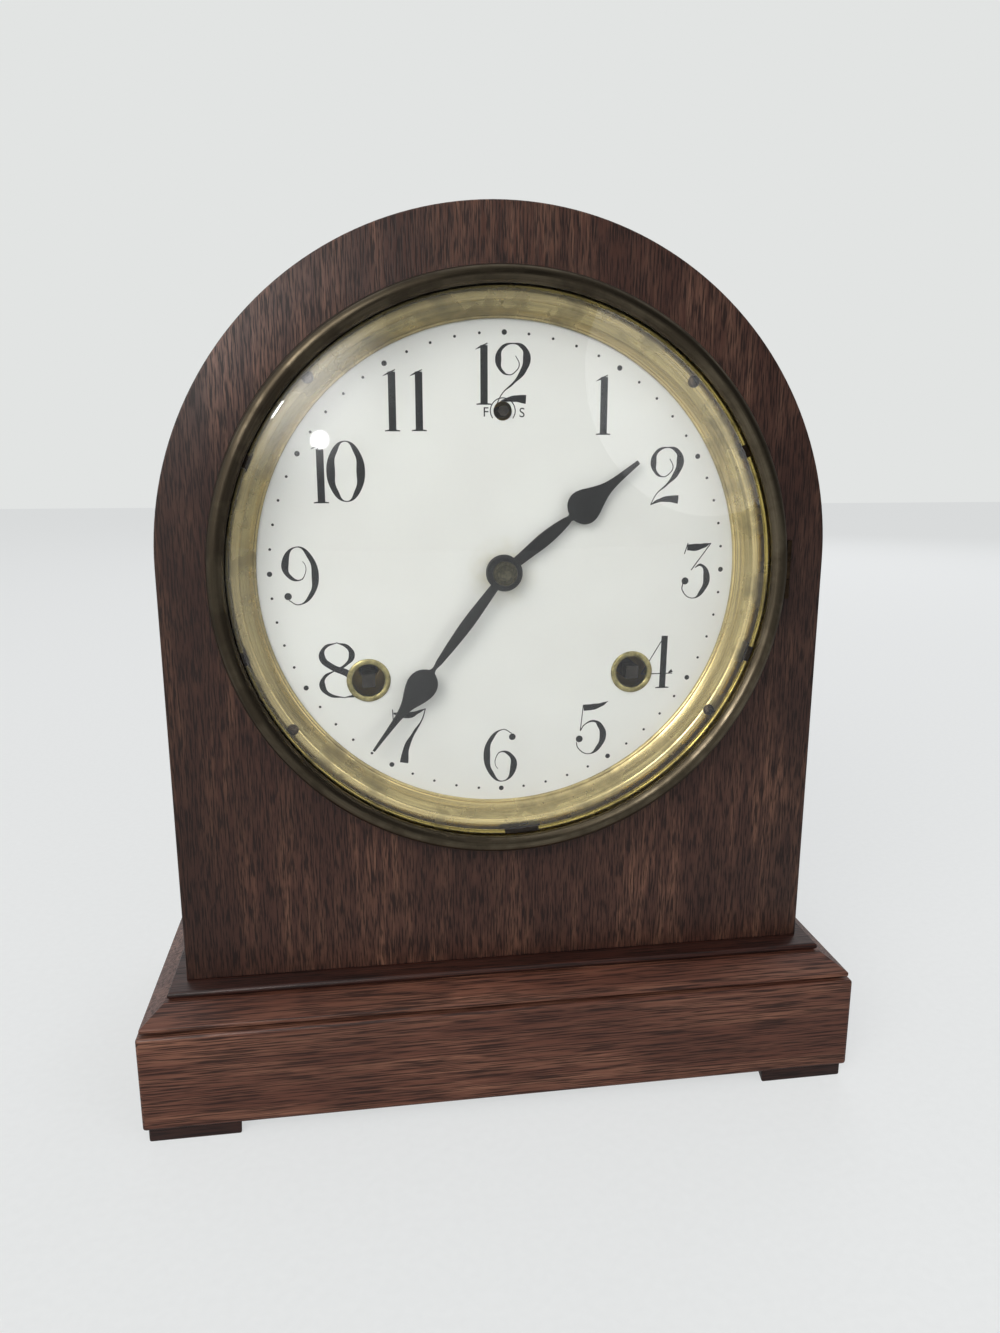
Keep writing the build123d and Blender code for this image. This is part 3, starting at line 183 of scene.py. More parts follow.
# Hands, with their sides as (along, half width), and the collet's face as (radius, depth)
minute_hand_angle = 217.0
minute_hand_length = 69.5
minute_hand_depth = 1.0
minute_hand_bore = 1.9
minute_stem = [(3.5, 1.25), (11, 1.6), (19, 1.85), (28, 1.5), (34, 1.05), (37.9, 0.9)]
minute_leaf = [(38.6, 1.9), (39.6, 3.2), (41.2, 4.3), (43.6, 4.8), (46, 4.4), (48.7, 3.35), (51.4, 2.15)]
minute_point = [(55, 1.3), (60, 0.85), (minute_hand_length, 0.4)]
hour_hand_angle = 51.5
hour_hand_length = 54.0
hour_hand_depth = 3.0
hour_hand_bore = 2.9
hour_stem = [(3.5, 1.5), (10, 1.85), (16, 2.15), (21.6, 1.85), (25, 1.35), (26.9, 1.1)]
hour_leaf = [(27.5, 2.3), (28.6, 3.95), (30.2, 5.05), (32.2, 5.4), (34.6, 4.8), (36.8, 3.75), (39, 2.75)]
hour_point = [(41.2, 1.95), (44.3, 1.35), (48.5, 1.0), (hour_hand_length, 0.65)]
hand_thickness = 0.8
hand_edge_share = 0.25
hub_radius = 5.6
hub_edge_share = 0.35
collet_face = [(0.3, 0.35), (1.5, 0.3), (1.9, 0), (2.5, 0), (2.75, 0.4), (3.1, 0.4), (3.3, 0.1), (3.6, 0.15)]
collet_rim = (3.8, 0.5)

# Back fittings
knob_neck_shares = ((0.55, 0), (0.42, 0.35))
knob_round_share = 0.36
knob_crown_share = 0.62
knob_tip_radius = 0.6
button_edge_round = 0.35

# Meshes
outline_steps = 96
crease_angle = 35
doubles_gap = 0.001

# Studio
floor_size = 8
lamp_aim_height = 0.15


# Modelling


def place(right, up, depth):
    """A point so far right of the dial's middle, above it, and behind the panel's face."""
    return Vector((right * MM, panel_low.y + depth * MM, (dial_height + up) * MM))


def around(radius, share):
    """Right and up from the dial's middle, at a share of a whole turn clockwise from the top."""
    angle = 2 * pi * share
    return radius * sin(angle), radius * cos(angle)


def only(*pieces):
    """Selects these pieces and nothing else."""
    bpy.ops.object.select_all(action="DESELECT")
    for piece in pieces:
        piece.select_set(True)
    bpy.context.view_layer.objects.active = pieces[0]


def edit(piece):
    """Opens one piece in edit mode."""
    only(piece)
    bpy.ops.object.mode_set(mode="EDIT")


def started(name):
    """Names the piece that was just added."""
    piece = bpy.context.object
    piece.name = piece.data.name = name
    return piece


def settle(piece):
    """Moves a piece's place into its mesh."""
    only(piece)
    bpy.ops.object.transform_apply(location=True, rotation=True, scale=True)


def tidy(piece):
    """Merges doubles, turns faces outwards, and shades smooth but for the sharp edges."""
    edit(piece)
    bpy.ops.mesh.select_all(action="SELECT")
    bpy.ops.mesh.remove_doubles(threshold=doubles_gap * MM)
    bpy.ops.mesh.normals_make_consistent(inside=False)
    bpy.ops.object.mode_set(mode="OBJECT")
    bpy.ops.object.shade_smooth_by_angle(angle=radians(crease_angle))
    return piece


def pick(piece, kind, test):
    """In edit mode, selects only the faces or edges whose middle and direction pass a test."""
    bpy.ops.mesh.select_all(action="DESELECT")
    mesh = bmesh.from_edit_mesh(piece.data)
    if kind == "FACE":
        for face in mesh.faces:
            face.select_set(test(face.calc_center_median(), face.normal))
    else:
        for line in mesh.edges:
            start, end = line.verts
            line.select_set(test((start.co + end.co) / 2, (end.co - start.co).normalized()))
    bmesh.update_edit_mesh(piece.data)


def modified(piece, kind, **settings):
    """Adds a modifier and applies it."""
    only(piece)
    added = piece.modifiers.new(kind.lower(), kind)
    for name, value in settings.items():
        setattr(added, name, value)
    bpy.ops.object.modifier_apply(modifier=added.name)
    return piece


def softened(piece, width, segments=3, angle=30):
    """Rounds every edge sharper than an angle."""
    return modified(
        piece,
        "BEVEL",
        width=width * MM,
        segments=segments,
        limit_method="ANGLE",
        angle_limit=radians(angle),
    )


def cut(piece, cutter, crossing=False):
    """Takes a cutter out of a piece, whose own faces may cross, and removes the cutter."""
    settings = {"operation": "DIFFERENCE", "solver": "EXACT", "object": cutter, "use_self": crossing}
    modified(piece, "BOOLEAN", **settings)
    bpy.data.objects.remove(cutter)
    return piece


def joined(name, *pieces):
    """Joins pieces into one, under a new name."""
    only(*pieces)
    bpy.ops.object.join()
    return started(name)


def copied(name, piece, turns):
    """Copies a piece by a matrix for each copy, each with its own mesh, and joins them."""
    copies = []
    for turn in turns:
        only(piece)
        bpy.ops.object.duplicate(linked=False)
        copy = bpy.context.object
        copy.data.transform(turn)
        copies.append(copy)
    bpy.data.objects.remove(piece)
    return joined(name, *copies)


def turned(name, profile, at=(0, 0), steps=ring_steps):
    """A turned piece: a circle drawn out to each (radius, depth) of its profile, front to back."""
    radius, depth = profile[0]
    centre = place(*at, depth)
    bpy.ops.mesh.primitive_circle_add(
        vertices=steps, radius=radius * MM, location=centre, rotation=(pi / 2, 0, 0)
    )
    piece = started(name)
    settle(piece)
    edit(piece)
    bpy.ops.mesh.select_all(action="SELECT")
    for next_radius, next_depth in profile[1:]:
        bpy.ops.mesh.extrude_region_move(
            TRANSFORM_OT_translate={"value": (0, (next_depth - depth) * MM, 0)}
        )
        if next_radius == 0:
            bpy.ops.mesh.merge(type="CENTER")
            break
        share = next_radius / radius
        bpy.ops.transform.resize(value=(share, 1, share), center_override=place(*at, next_depth))
        radius, depth = next_radius, next_depth
    bpy.ops.mesh.select_all(action="SELECT")
    bpy.ops.mesh.remove_doubles(threshold=doubles_gap * MM)
    bpy.ops.mesh.fill_holes(sides=0)
    bpy.ops.object.mode_set(mode="OBJECT")
    return tidy(piece)


def bend(centre, radius, start, end, steps):
    """Points of a round stretch of a profile, from one angle to another in degrees."""
    angles = [radians(start + (end - start) * step / steps) for step in range(steps + 1)]
    return [(centre[0] + radius * cos(angle), centre[1] + radius * sin(angle)) for angle in angles]


def stepped(name, low, high, levels):
    """A slab drawn up from a rectangle through levels of (height, front inset, side inset).

    The back stays where it is, and the insets are measured from the low and high corners."""
    back = (high.y + low.y) / 2
    width, depth = high.x - low.x, high.y - low.y
    height, front_inset, side_inset = levels[0]
    bpy.ops.mesh.primitive_plane_add(size=1, location=((low.x + high.x) / 2, back, height * MM))
    piece = started(name)
    piece.scale = (width, depth, 1)
    settle(piece)
    edit(piece)
    bpy.ops.mesh.select_all(action="SELECT")
    middle = Vector(((low.x + high.x) / 2, high.y, 0))
    spans = (width - 2 * side_inset * MM, depth - front_inset * MM)
    bpy.ops.transform.resize(value=(spans[0] / width, spans[1] / depth, 1), center_override=middle)
    for next_height, front_inset, side_inset in levels[1:]:
        bpy.ops.mesh.extrude_region_move(
            TRANSFORM_OT_translate={"value": (0, 0, (next_height - height) * MM)}
        )
        wanted = (width - 2 * side_inset * MM, depth - front_inset * MM)
        ratio = (wanted[0] / spans[0], wanted[1] / spans[1], 1)
        bpy.ops.transform.resize(value=ratio, center_override=middle)
        height, spans = next_height, wanted
    bpy.ops.object.mode_set(mode="OBJECT")
    return tidy(piece)


def flat_line(name, shapes, thickness, edge=0.0, smooth=False):
    """A board cut to one or more closed outlines, the later ones as holes, with its edges eased."""
    curve = bpy.data.curves.new(name, "CURVE")
    curve.dimensions = "2D"
    curve.fill_mode = "BOTH"
    curve.resolution_u = 10
    for points in shapes:
        line = curve.splines.new("BEZIER" if smooth else "POLY")
        knots = line.bezier_points if smooth else line.points
        knots.add(len(points) - 1)
        for knot, (across, up, *corner) in zip(knots, points):
            if smooth:
                knot.co = (across * MM, up * MM, 0)
                kind = "VECTOR" if corner else "AUTO"
                knot.handle_left_type = knot.handle_right_type = kind
            else:
                knot.co = (across * MM, up * MM, 0, 1)
        line.use_cyclic_u = True
    curve.extrude = (thickness / 2 - edge) * MM
    curve.bevel_depth = edge * MM
    curve.bevel_resolution = 2
    curve.offset = -edge * MM
    board = bpy.data.objects.new(name, curve)
    bpy.context.scene.collection.objects.link(board)
    only(board)
    bpy.ops.object.convert(target="MESH")
    return bpy.context.object


def stand(piece, front, thickness, middle=(0, 0), turn=0.0):
    """Stands a flat board up at a depth, turned clockwise about its middle, and tidies it."""
    piece.rotation_euler = (pi / 2, radians(turn), 0)
    piece.location = place(*middle, front + thickness / 2)
    settle(piece)
    return tidy(piece)


def arch(half_width, foot, spring):
    """An arch's outline from its feet, in heights from the dial's middle."""
    bow = [pi * step / outline_steps for step in range(outline_steps + 1)]
    top = [(half_width * cos(angle), spring + half_width * sin(angle)) for angle in bow]
    return [(-half_width, foot), (half_width, foot), *top]


def circle(radius, middle=(0, 0), steps=outline_steps):
    """A circle's outline."""
    angles = [-2 * pi * step / steps for step in range(steps)]
    return [(middle[0] + radius * cos(angle), middle[1] + radius * sin(angle)) for angle in angles]


# Materials


def linear(colour):
    """An sRGB hex colour, such as #a0b1c2, as a linear colour."""
    parts = [int(colour[i : i + 2], 16) / 255 for i in (1, 3, 5)]
    parts = [part / 12.92 if part <= 0.04045 else ((part + 0.055) / 1.055) ** 2.4 for part in parts]
    return (*parts, 1)


def add(tree, kind, inputs=None, out=0, **settings):
    """Adds a node with its settings, sets or links its inputs, and returns one of its outputs.

    Inputs 0, 6 and 7 of a colour Mix are its share and its two colours. Inputs 0 to 4 of a Map Range
    are its value, the range that it comes from, and the range that it goes to."""
    made = tree.nodes.new("ShaderNode" + kind)
    for name, value in settings.items():
        setattr(made, name, value)
    for name, value in (inputs or {}).items():
        if isinstance(value, bpy.types.NodeSocket):
            tree.links.new(value, made.inputs[name])
        else:
            made.inputs[name].default_value = linear(value) if isinstance(value, str) else value
    return made.outputs[out] if made.outputs else None


def started_material(name):
    """A new material, its node tree, and its object coordinates in metres."""
    material = bpy.data.materials.new(name)
    material.use_nodes = True
    tree = material.node_tree
    tree.nodes.clear()
    return material, tree, add(tree, "TexCoord", out="Object")


def surfaced(material, tree, inputs):
    """Ends a material with one shader."""
    shader = add(tree, "BsdfPrincipled", inputs)
    add(tree, "OutputMaterial", {"Surface": shader})
    return material


def mottle(tree, coords, size, stretch=(1, 1, 1), detail=3.0, rough=0.55, shift=(0, 0, 0)):
    """Noise whose patches have a size in millimetres, drawn out along each axis."""
    scale = [1 / (size * MM * share) for share in stretch]
    moved = add(tree, "Mapping", {"Vector": coords, "Scale": scale, "Location": shift})
    return add(tree, "TexNoise", {"Vector": moved, "Scale": 1.0, "Detail": detail, "Roughness": rough})


def mahogany(name, dark, middle, light, grain, pore_length=18, satin=0.38, coat=0.2, edge_share=0.0):
    """Mahogany, shellacked and worn to a satin.

    Broad ribbons of light and dark run along the grain, with short dark pores in them. Real pores
    are a quarter of a millimetre wide, and are drawn twice as coarse to show."""
    ribbon_width, figure_width, pore_width, cloud_size = 10, 1.8, 0.5, 40
    sides_darken_from = (case_half_width - 26) * MM
    material, tree, coords = started_material(name)
    along = [8.0 if axis == grain else 1.0 for axis in "xyz"]
    pores_along = [pore_length if axis == grain else 1.0 for axis in "xyz"]
    ribbons = mottle(tree, coords, ribbon_width, along, 5.0, 0.6)
    ribbons = add(tree, "MapRange", {0: ribbons, 1: 0.4, 2: 0.6})
    figure = mottle(tree, coords, figure_width, pores_along, 4.0, 0.7, (0.3, 0.7, 0.1))
    figure = add(tree, "MapRange", {0: figure, 1: 0.4, 2: 0.62, 4: 0.9})
    pores = mottle(tree, coords, pore_width, pores_along, 2.0, 0.65)
    pores = add(tree, "MapRange", {0: pores, 1: 0.46, 2: 0.58})
    gaps = add(tree, "Math", {0: pores, 1: 0.88}, operation="MULTIPLY")
    clouds = add(tree, "MapRange", {0: mottle(tree, coords, cloud_size), 1: 0.38, 2: 0.62, 4: 0.4})
    across = add(tree, "SeparateXYZ", {0: coords})
    across = add(tree, "Math", {0: across}, operation="ABSOLUTE")
    # Darker towards the left and right edges of the case, by edge_share
    edges = {0: across, 1: sides_darken_from, 2: case_half_width * MM, 4: edge_share}
    edges = add(tree, "MapRange", edges)
    colour = add(tree, "Mix", {0: ribbons, 6: middle, 7: light}, 2, data_type="RGBA")
    colour = add(tree, "Mix", {0: clouds, 6: colour, 7: dark}, 2, data_type="RGBA")
    colour = add(tree, "Mix", {0: figure, 6: middle, 7: colour}, 2, data_type="RGBA")
    colour = add(tree, "Mix", {0: gaps, 6: colour, 7: dark}, 2, data_type="RGBA")
    colour = add(tree, "Mix", {0: edges, 6: colour, 7: dark}, 2, data_type="RGBA")
    inputs = {
        "Base Color": colour,
        "Roughness": add(tree, "MapRange", {0: pores, 3: satin, 4: satin + 0.2}),
        "IOR": 1.5,
        "Specular IOR Level": 0.35,
        "Coat Weight": coat,
        "Coat Roughness": 0.3,
        "Normal": add(tree, "Bump", {"Height": pores, "Distance": -0.05 * MM, "Strength": 0.5}),
    }
    return surfaced(material, tree, inputs)


def ring_brass(name, bright, tarnish_and_shade, spread, streak, rough, shaded_side_share):
    """Sheet brass spun on a lathe, with streaks round the dial's axis.

    Streaks half a millimetre apart run round it. Tarnish gathers in broad patches and in specks.
    The upper left is mixed further towards the tarnish colour as painted shade."""
    streak_gap, patch_size, speck_size = 0.45, 16, 1.1
    shaded_heading = (-0.8, 0, 0.6)
    material, tree, coords = started_material(name)
    centred = add(tree, "Mapping", {"Vector": coords, "Location": -place(0, 0, 0)})
    flat = add(tree, "VectorMath", {0: centred, 1: (1, 0, 1)}, operation="MULTIPLY")
    radius = add(tree, "VectorMath", {0: flat}, "Value", operation="LENGTH")
    heading = add(tree, "VectorMath", {0: flat}, operation="NORMALIZE")
    broad = add(tree, "VectorMath", {0: heading, "Scale": 2.5}, operation="SCALE")
    fine = add(tree, "Math", {0: radius, 1: 1 / (streak_gap * MM)}, operation="MULTIPLY")
    out = add(tree, "CombineXYZ", {"Y": fine})
    rings = add(tree, "VectorMath", {0: broad, 1: out}, operation="ADD")
    rings = add(tree, "TexNoise", {"Vector": rings, "Scale": 1.0, "Detail": 3.0, "Roughness": 0.6})
    streaks = add(tree, "MapRange", {0: rings, 1: 0.3, 2: 0.7})
    patches = mottle(tree, coords, patch_size, detail=4.0, rough=0.6)
    patches = add(tree, "MapRange", {0: patches, 1: 0.62 - spread, 2: 0.72 - spread * 0.6})
    specks = mottle(tree, coords, speck_size, rough=0.6)
    specks = add(tree, "MapRange", {0: specks, 1: 0.62, 2: 0.75, 4: 0.35})
    # Painted shade: the side that faces the upper left is mixed towards the dark colour
    side = add(tree, "VectorMath", {0: heading, 1: shaded_heading}, "Value", operation="DOT_PRODUCT")
    side = add(tree, "MapRange", {0: side, 1: -0.5, 2: 0.7, 4: shaded_side_share})
    dull = add(tree, "Math", {0: streaks, 1: streak}, operation="MULTIPLY")
    stains = add(tree, "Math", {0: patches, 1: 0.55}, operation="MULTIPLY")
    colour = bright
    for share in (dull, side, stains, specks):
        colour = add(tree, "Mix", {0: share, 6: colour, 7: tarnish_and_shade}, 2, data_type="RGBA")
    inputs = {
        "Base Color": colour,
        "Metallic": 1.0,
        "Roughness": add(tree, "MapRange", {0: patches, 3: rough, 4: rough + 0.18}),
        "Normal": add(tree, "Bump", {"Height": streaks, "Distance": 0.02 * MM, "Strength": 0.35}),
    }
    return surfaced(material, tree, inputs)


def metal(name, bright, dull, size, rough, worn=0.5):
    """Rolled, cast or turned metal, with dull patches of a size and fine marks a ninth of it."""
    material, tree, coords = started_material(name)
    patches = mottle(tree, coords, size, detail=4.0, rough=0.6)
    patches = add(tree, "MapRange", {0: patches, 1: 0.35, 2: 0.7})
    marks = mottle(tree, coords, size / 9, (1, 1, 3), 2.0)
    marks = add(tree, "MapRange", {0: marks, 1: 0.4, 2: 0.7})
    share = add(tree, "Math", {0: patches, 1: worn}, operation="MULTIPLY")
    inputs = {
        "Base Color": add(tree, "Mix", {0: share, 6: bright, 7: dull}, 2, data_type="RGBA"),
        "Metallic": 1.0,
        "Roughness": add(tree, "MapRange", {0: patches, 3: rough, 4: rough + 0.2}),
        "Normal": add(tree, "Bump", {"Height": marks, "Distance": 0.02 * MM, "Strength": 0.3}),
    }
    return surfaced(material, tree, inputs)


def dial_paint():
    """Painted dial card: smooth satin white, faintly mottled, and yellowed round the centre arbor."""
    stain_start, stain_end = 5.5 * MM, 12 * MM
    shade_start, shade_end = 70 * MM, 76 * MM
    material, tree, coords = started_material("satin_white_dial_paint")
    middle = -place(0, 0, dial_face)
    centred = add(tree, "Mapping", {"Vector": coords, "Location": middle})
    radius = add(tree, "VectorMath", {0: centred}, "Value", operation="LENGTH")
    stain = add(tree, "MapRange", {0: radius, 1: stain_start, 2: stain_end, 3: 0.55, 4: 0})
    cloud = add(tree, "MapRange", {0: mottle(tree, coords, 5), 1: 0.35, 2: 0.65, 3: 0.3})
    stain = add(tree, "Math", {0: stain, 1: cloud}, operation="MULTIPLY")
    tone = add(tree, "MapRange", {0: mottle(tree, coords, 40, detail=2.0), 1: 0.3, 2: 0.7})
    shade = add(tree, "MapRange", {0: radius, 1: shade_start, 2: shade_end, 4: 0.35})
    colour = add(tree, "Mix", {0: tone, 6: "#e9ebe6", 7: "#eff2ed"}, 2, data_type="RGBA")
    colour = add(tree, "Mix", {0: shade, 6: colour, 7: "#dedfda"}, 2, data_type="RGBA")
    colour = add(tree, "Mix", {0: stain, 6: colour, 7: "#d6d2b4"}, 2, data_type="RGBA")
    grain = mottle(tree, coords, 0.8)
    inputs = {
        "Base Color": colour,
        "Roughness": 0.5,
        "Normal": add(tree, "Bump", {"Height": grain, "Distance": 0.01 * MM, "Strength": 0.3}),
    }
    return surfaced(material, tree, inputs)


def black_paint(name, dark, worn, rough):
    """Flat black paint or ink, its edges and high spots rubbed to grey."""
    material, tree, coords = started_material(name)
    rub = mottle(tree, coords, 2.2, detail=4.0, rough=0.65)
    rub = add(tree, "MapRange", {0: rub, 1: 0.4, 2: 0.75})
    inputs = {
        "Base Color": add(tree, "Mix", {0: rub, 6: dark, 7: worn}, 2, data_type="RGBA"),
        "Specular IOR Level": 0.3,
        "Roughness": add(tree, "MapRange", {0: rub, 3: rough, 4: rough + 0.12}),
        "Normal": add(tree, "Bump", {"Height": rub, "Distance": 0.01 * MM, "Strength": 0.3}),
    }
    return surfaced(material, tree, inputs)


def window_glass():
    """Clear convex clock glass. It shows faint reflections and lets the lamps through to the dial."""
    material, tree, coords = started_material("clear_convex_glass")
    wave = mottle(tree, coords, 30, detail=1.0)
    inputs = {
        "Base Color": "#ffffff",
        "Roughness": 0.0,
        "IOR": 1.45,
        "Transmission Weight": 1.0,
        "Normal": add(tree, "Bump", {"Height": wave, "Distance": 0.05 * MM, "Strength": 0.3}),
    }
    pane = add(tree, "BsdfPrincipled", inputs)
    open_air = add(tree, "BsdfTransparent")
    shadow = add(tree, "LightPath", out="Is Shadow Ray")
    mixed = add(tree, "MixShader", {0: shadow, 1: pane, 2: open_air})
    add(tree, "OutputMaterial", {"Surface": mixed})
    return material


def straight_rays(tree, *kinds):
    """1 for these kinds of ray on their way from the camera, and 0 for all that light matt surfaces."""
    seen = 0.0
    for kind in kinds:
        ray = add(tree, "LightPath", out=kind)
        seen = add(tree, "Math", {0: seen, 1: ray}, operation="MAXIMUM")
    bounces = add(tree, "LightPath", out="Diffuse Depth")
    direct = add(tree, "Math", {0: bounces, 1: 0.5}, operation="LESS_THAN")
    return add(tree, "Math", {0: seen, 1: direct}, operation="MULTIPLY")


def floor_paper():
    """Matt paper that the camera and the clock's metal see as near white, with the clock's shadow."""
    material, tree, coords = started_material("white_backdrop_paper")
    grain = add(tree, "MapRange", {0: mottle(tree, coords, 3), 1: 0.3, 2: 0.7})
    paper = add(tree, "Mix", {0: grain, 6: "#8d8e8f", 7: "#919293"}, 2, data_type="RGBA")
    paper = add(tree, "BsdfDiffuse", {"Color": paper})
    seen = straight_rays(tree, "Is Camera Ray", "Is Transmission Ray")
    mirrored = straight_rays(tree, "Is Glossy Ray")
    mirrored = add(tree, "Math", {0: mirrored, 1: 0.3}, operation="MULTIPLY")
    seen = add(tree, "Math", {0: seen, 1: mirrored}, operation="MAXIMUM")
    strength = add(tree, "Math", {0: seen, 1: 0.61}, operation="MULTIPLY")
    glow = add(tree, "Emission", {"Color": "#f9fbfb", "Strength": strength})
    paper = add(tree, "AddShader", {0: paper, 1: glow})
    add(tree, "OutputMaterial", {"Surface": paper})
    return material


# Shellacked mahogany: upright in front, darker round the bend, long grained and redder on the base
front_veneer = mahogany(
    "shellacked_mahogany_veneer_upright", "#1a0e0b", "#4a2f27", "#835d4b", "z", 16, edge_share=0.45
)
band_veneer = mahogany("shellacked_mahogany_veneer_bent", "#20110e", "#492b23", "#623b2e", "y")
base_veneer = mahogany("shellacked_mahogany_moulding", "#27140f", "#663f32", "#a0705a", "x", 40)
# Darker mahogany for the round nose; the base's groove takes it too, as painted shade
nose_and_groove_shade_wood = mahogany("dark_mahogany_nose_and_groove_shade", "#160b09", "#3a1f19", "#5d382d", "x", 40)
foot_wood = mahogany("dark_stained_foot_wood", "#1c0f0d", "#38211c", "#4a2e26", "x", 30)
# Oiled boards at the back: without shellac, so paler and nearly matt
back_board = mahogany("oiled_back_board", "#3c2a1f", "#6b4d38", "#8a6a50", "z", 30, 0.6, 0.0)
# Spun brass: the bezel has gone brown, and the ring and reflector behind the glass stay gold.
# Each is darkened at its upper left as painted shade, the ring most of all.
bezel_brass = ring_brass("tarnished_and_shaded_spun_brass", "#857a66", "#342d25", 0.2, 0.45, 0.28, 0.5)
sash_brass = ring_brass("bright_spun_brass", "#c2ae63", "#3b3524", 0.15, 0.5, 0.22, 0.92)
surround_brass = ring_brass("pale_spun_brass", "#ecd89c", "#6a6148", 0.12, 0.55, 0.24, 0.6)
# Small brass: bent tabs near black as painted shade in the slots, pressed grommets, leaf hinges,
# rolled plates and cast fittings
slot_shade_tab_metal = metal("slot_shade_dark_brass_tabs", "#33261a", "#17110c", 1.5, 0.6)
grommet_brass = metal("lacquered_brass_grommets", "#a59b6c", "#55502f", 2.0, 0.3, 0.8)
hinge_brass = metal("tarnished_hinge_brass", "#5b4b3a", "#30271f", 3, 0.4, 0.8)
plate_brass = metal("rolled_brass_plate", "#b59a5a", "#7d6838", 14, 0.35)
turned_brass = metal("cast_brass_fittings", "#a88c50", "#6b5732", 5, 0.35)
# Steel and iron: bright where turned, blue where tempered, brown with age, and grey where cast.
# The arbor ends are darkened further as painted shade inside their holes.
bright_steel = metal("turned_steel", "#a2a3a2", "#6c6c6a", 4, 0.3)
spring_steel = metal("blued_spring_steel", "#3c424e", "#2b2d33", 6, 0.3)
nut_steel = metal("browned_steel_nut", "#5e5a48", "#1f1f1c", 0.6, 0.4, 0.95)
screw_steel = metal("browned_steel_screws", "#5b4f42", "#2b241d", 0.9, 0.35, 0.9)
shaded_arbor_steel = metal("dark_arbor_steel_with_painted_shade", "#3f3c37", "#211f1d", 2, 0.4, 0.8)
cast_iron = metal("cast_iron", "#454547", "#29292b", 3, 0.55)
# Black: brushed paint on the hands, with a soft gloss, and flat printing ink on the dial
hand_black = black_paint("flat_black_hand_paint", "#0e0f10", "#1d1f20", 0.42)
figure_black = black_paint("black_dial_ink", "#0f1112", "#23262a", 0.55)
dial_white = dial_paint()
glass = window_glass()


def finished(piece, body, slot, material, *nodes):
    """Gives a new piece its finish and its body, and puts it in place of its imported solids."""
    piece.data.materials.clear()
    piece.data.materials.append(material)
    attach(piece, body)
    if nodes:
        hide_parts(*nodes)
    return piece


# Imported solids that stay, with their finishes
kept_finishes = {
    back_board: ("base_board",),
    cast_iron: ("gong_stand",),
    hinge_brass: ("bezel_leaf", "bezel_hinge_plate", "bezel_catch"),
    shaded_arbor_steel: ("time_winding_arbor", "strike_winding_arbor", "regulator_arbor"),
    turned_brass: (
        "door_hinge_leaves",
        "panel_hinge_leaves",
        "pendulum_bob",
        "rating_nut",
        "hammer",
        "fly",
        "suspension_cock",
    ),
    plate_brass: (
        "front_plate",
        "back_plate",
        "time_main_wheel",
        "strike_main_wheel",
        "minute_wheel",
        "hour_wheel",
    ),
    bright_steel: (
        "pillars",
        "pillar_nuts",
        "mounting_legs",
        "time_click",
        "strike_click",
        "time_second_arbor",
        "centre_arbor",
        "third_arbor",
        "escape_arbor",
        "strike_second_arbor",
        "strike_third_arbor",
        "verge",
        "pendulum_rod",
    ),
    spring_steel: ("time_mainspring", "strike_mainspring", "gong_coil"),
    screw_steel: ("button_screw",),
}
for material, names in kept_finishes.items():
    for name in names:
        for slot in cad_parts[name].material_slots:
            slot.material = material


# Cabinet


def cabinet():
    """The arched front board, the bent band behind it, the back board and its door."""
    foot = base_top - dial_height
    spring = arch_height - dial_height
    outside = arch(case_half_width, foot, spring)
    front = [outside, circle(movement_opening_radius)]
    front = flat_line("front_board", front, panel_thickness, board_edge_round)
    stand(front, 0, panel_thickness)
    recess = [(dial_recess_radius, -overrun), (dial_recess_radius, dial_recess_depth)]
    cut(front, turned("recess_cutter", recess))
    finished(tidy(front), "case", "front_veneer", front_veneer, "front_panel")

    band_depth = (band_high.y - band_low.y) / MM
    inside = arch(case_half_width - band_wall, foot + band_foot_gap, spring)
    band = flat_line("case_shell", [outside, inside], band_depth)
    stand(band, panel_thickness, band_depth)
    finished(band, "case", "case_veneer", band_veneer, "case_band")

    back_depth = (back_high.y - back_low.y) / MM
    opening_foot = door_opening_foot - dial_height
    opening_spring = door_opening_spring - dial_height
    opening = arch(door_opening_half_width, opening_foot, opening_spring)
    rear = flat_line("back_board", [outside, opening], back_depth, back_edge_round)
    stand(rear, panel_thickness + band_depth, back_depth)
    finished(rear, "case", "back_wood", back_board, "back_panel")

    low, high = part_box("back_door")
    half_width = (high.x - low.x) / 2 / MM
    thickness = (high.y - low.y) / MM
    door_foot = low.z / MM - dial_height
    door_spring = high.z / MM - dial_height - half_width
    outline = arch(half_width, door_foot, door_spring)
    door = flat_line("back_door_board", [outline], thickness, door_edge_round)
    stand(door, (low.y - panel_low.y) / MM, thickness)
    finished(door, "door", "back_wood", back_board, "back_door")


cabinet()


# Base


def moulding():
    """The board on the plinth, with its groove, its slope and its dark round nose. The groove is dark as
    painted shade.
    """
    low = Vector((plinth_low.x, plinth_low.y, moulding_low.z))
    high = Vector((plinth_high.x, plinth_high.y, moulding_high.z))
    bottom = moulding_low.z / MM
    groove_top = bottom + groove_height
    slope_foot = groove_top + fillet_height
    slope_top = slope_foot + slope_height
    nose = bend((0, base_top - nose_radius), nose_radius, -90, 90, 6)
    levels = [(bottom, *groove_insets), (groove_top, *groove_insets)]
    levels += [(groove_top, *slope_foot_insets), (slope_foot, *slope_foot_insets)]
    levels += [(slope_top, *slope_top_insets)]
    levels += [(height, nose_insets[0] - out, nose_insets[1] - out) for out, height in nose]
    board = stepped("base_top_moulding", low, high, levels)
    softened(board, moulding_edge_round, 2, 25)
    bpy.ops.object.shade_smooth_by_angle(angle=radians(crease_angle))
    finished(board, "case", "base_wood", base_veneer, "base_moulding")
    board.data.materials.append(nose_and_groove_shade_wood)
    # The nose gets the darker wood, and so does the groove as painted shade
    for face in board.data.polygons:
        height = face.center.z / MM
        in_shaded_groove = height < groove_top + 2 * hair
        on_nose = height > slope_top + hair
        face.material_index = int(in_shaded_groove or on_nose)


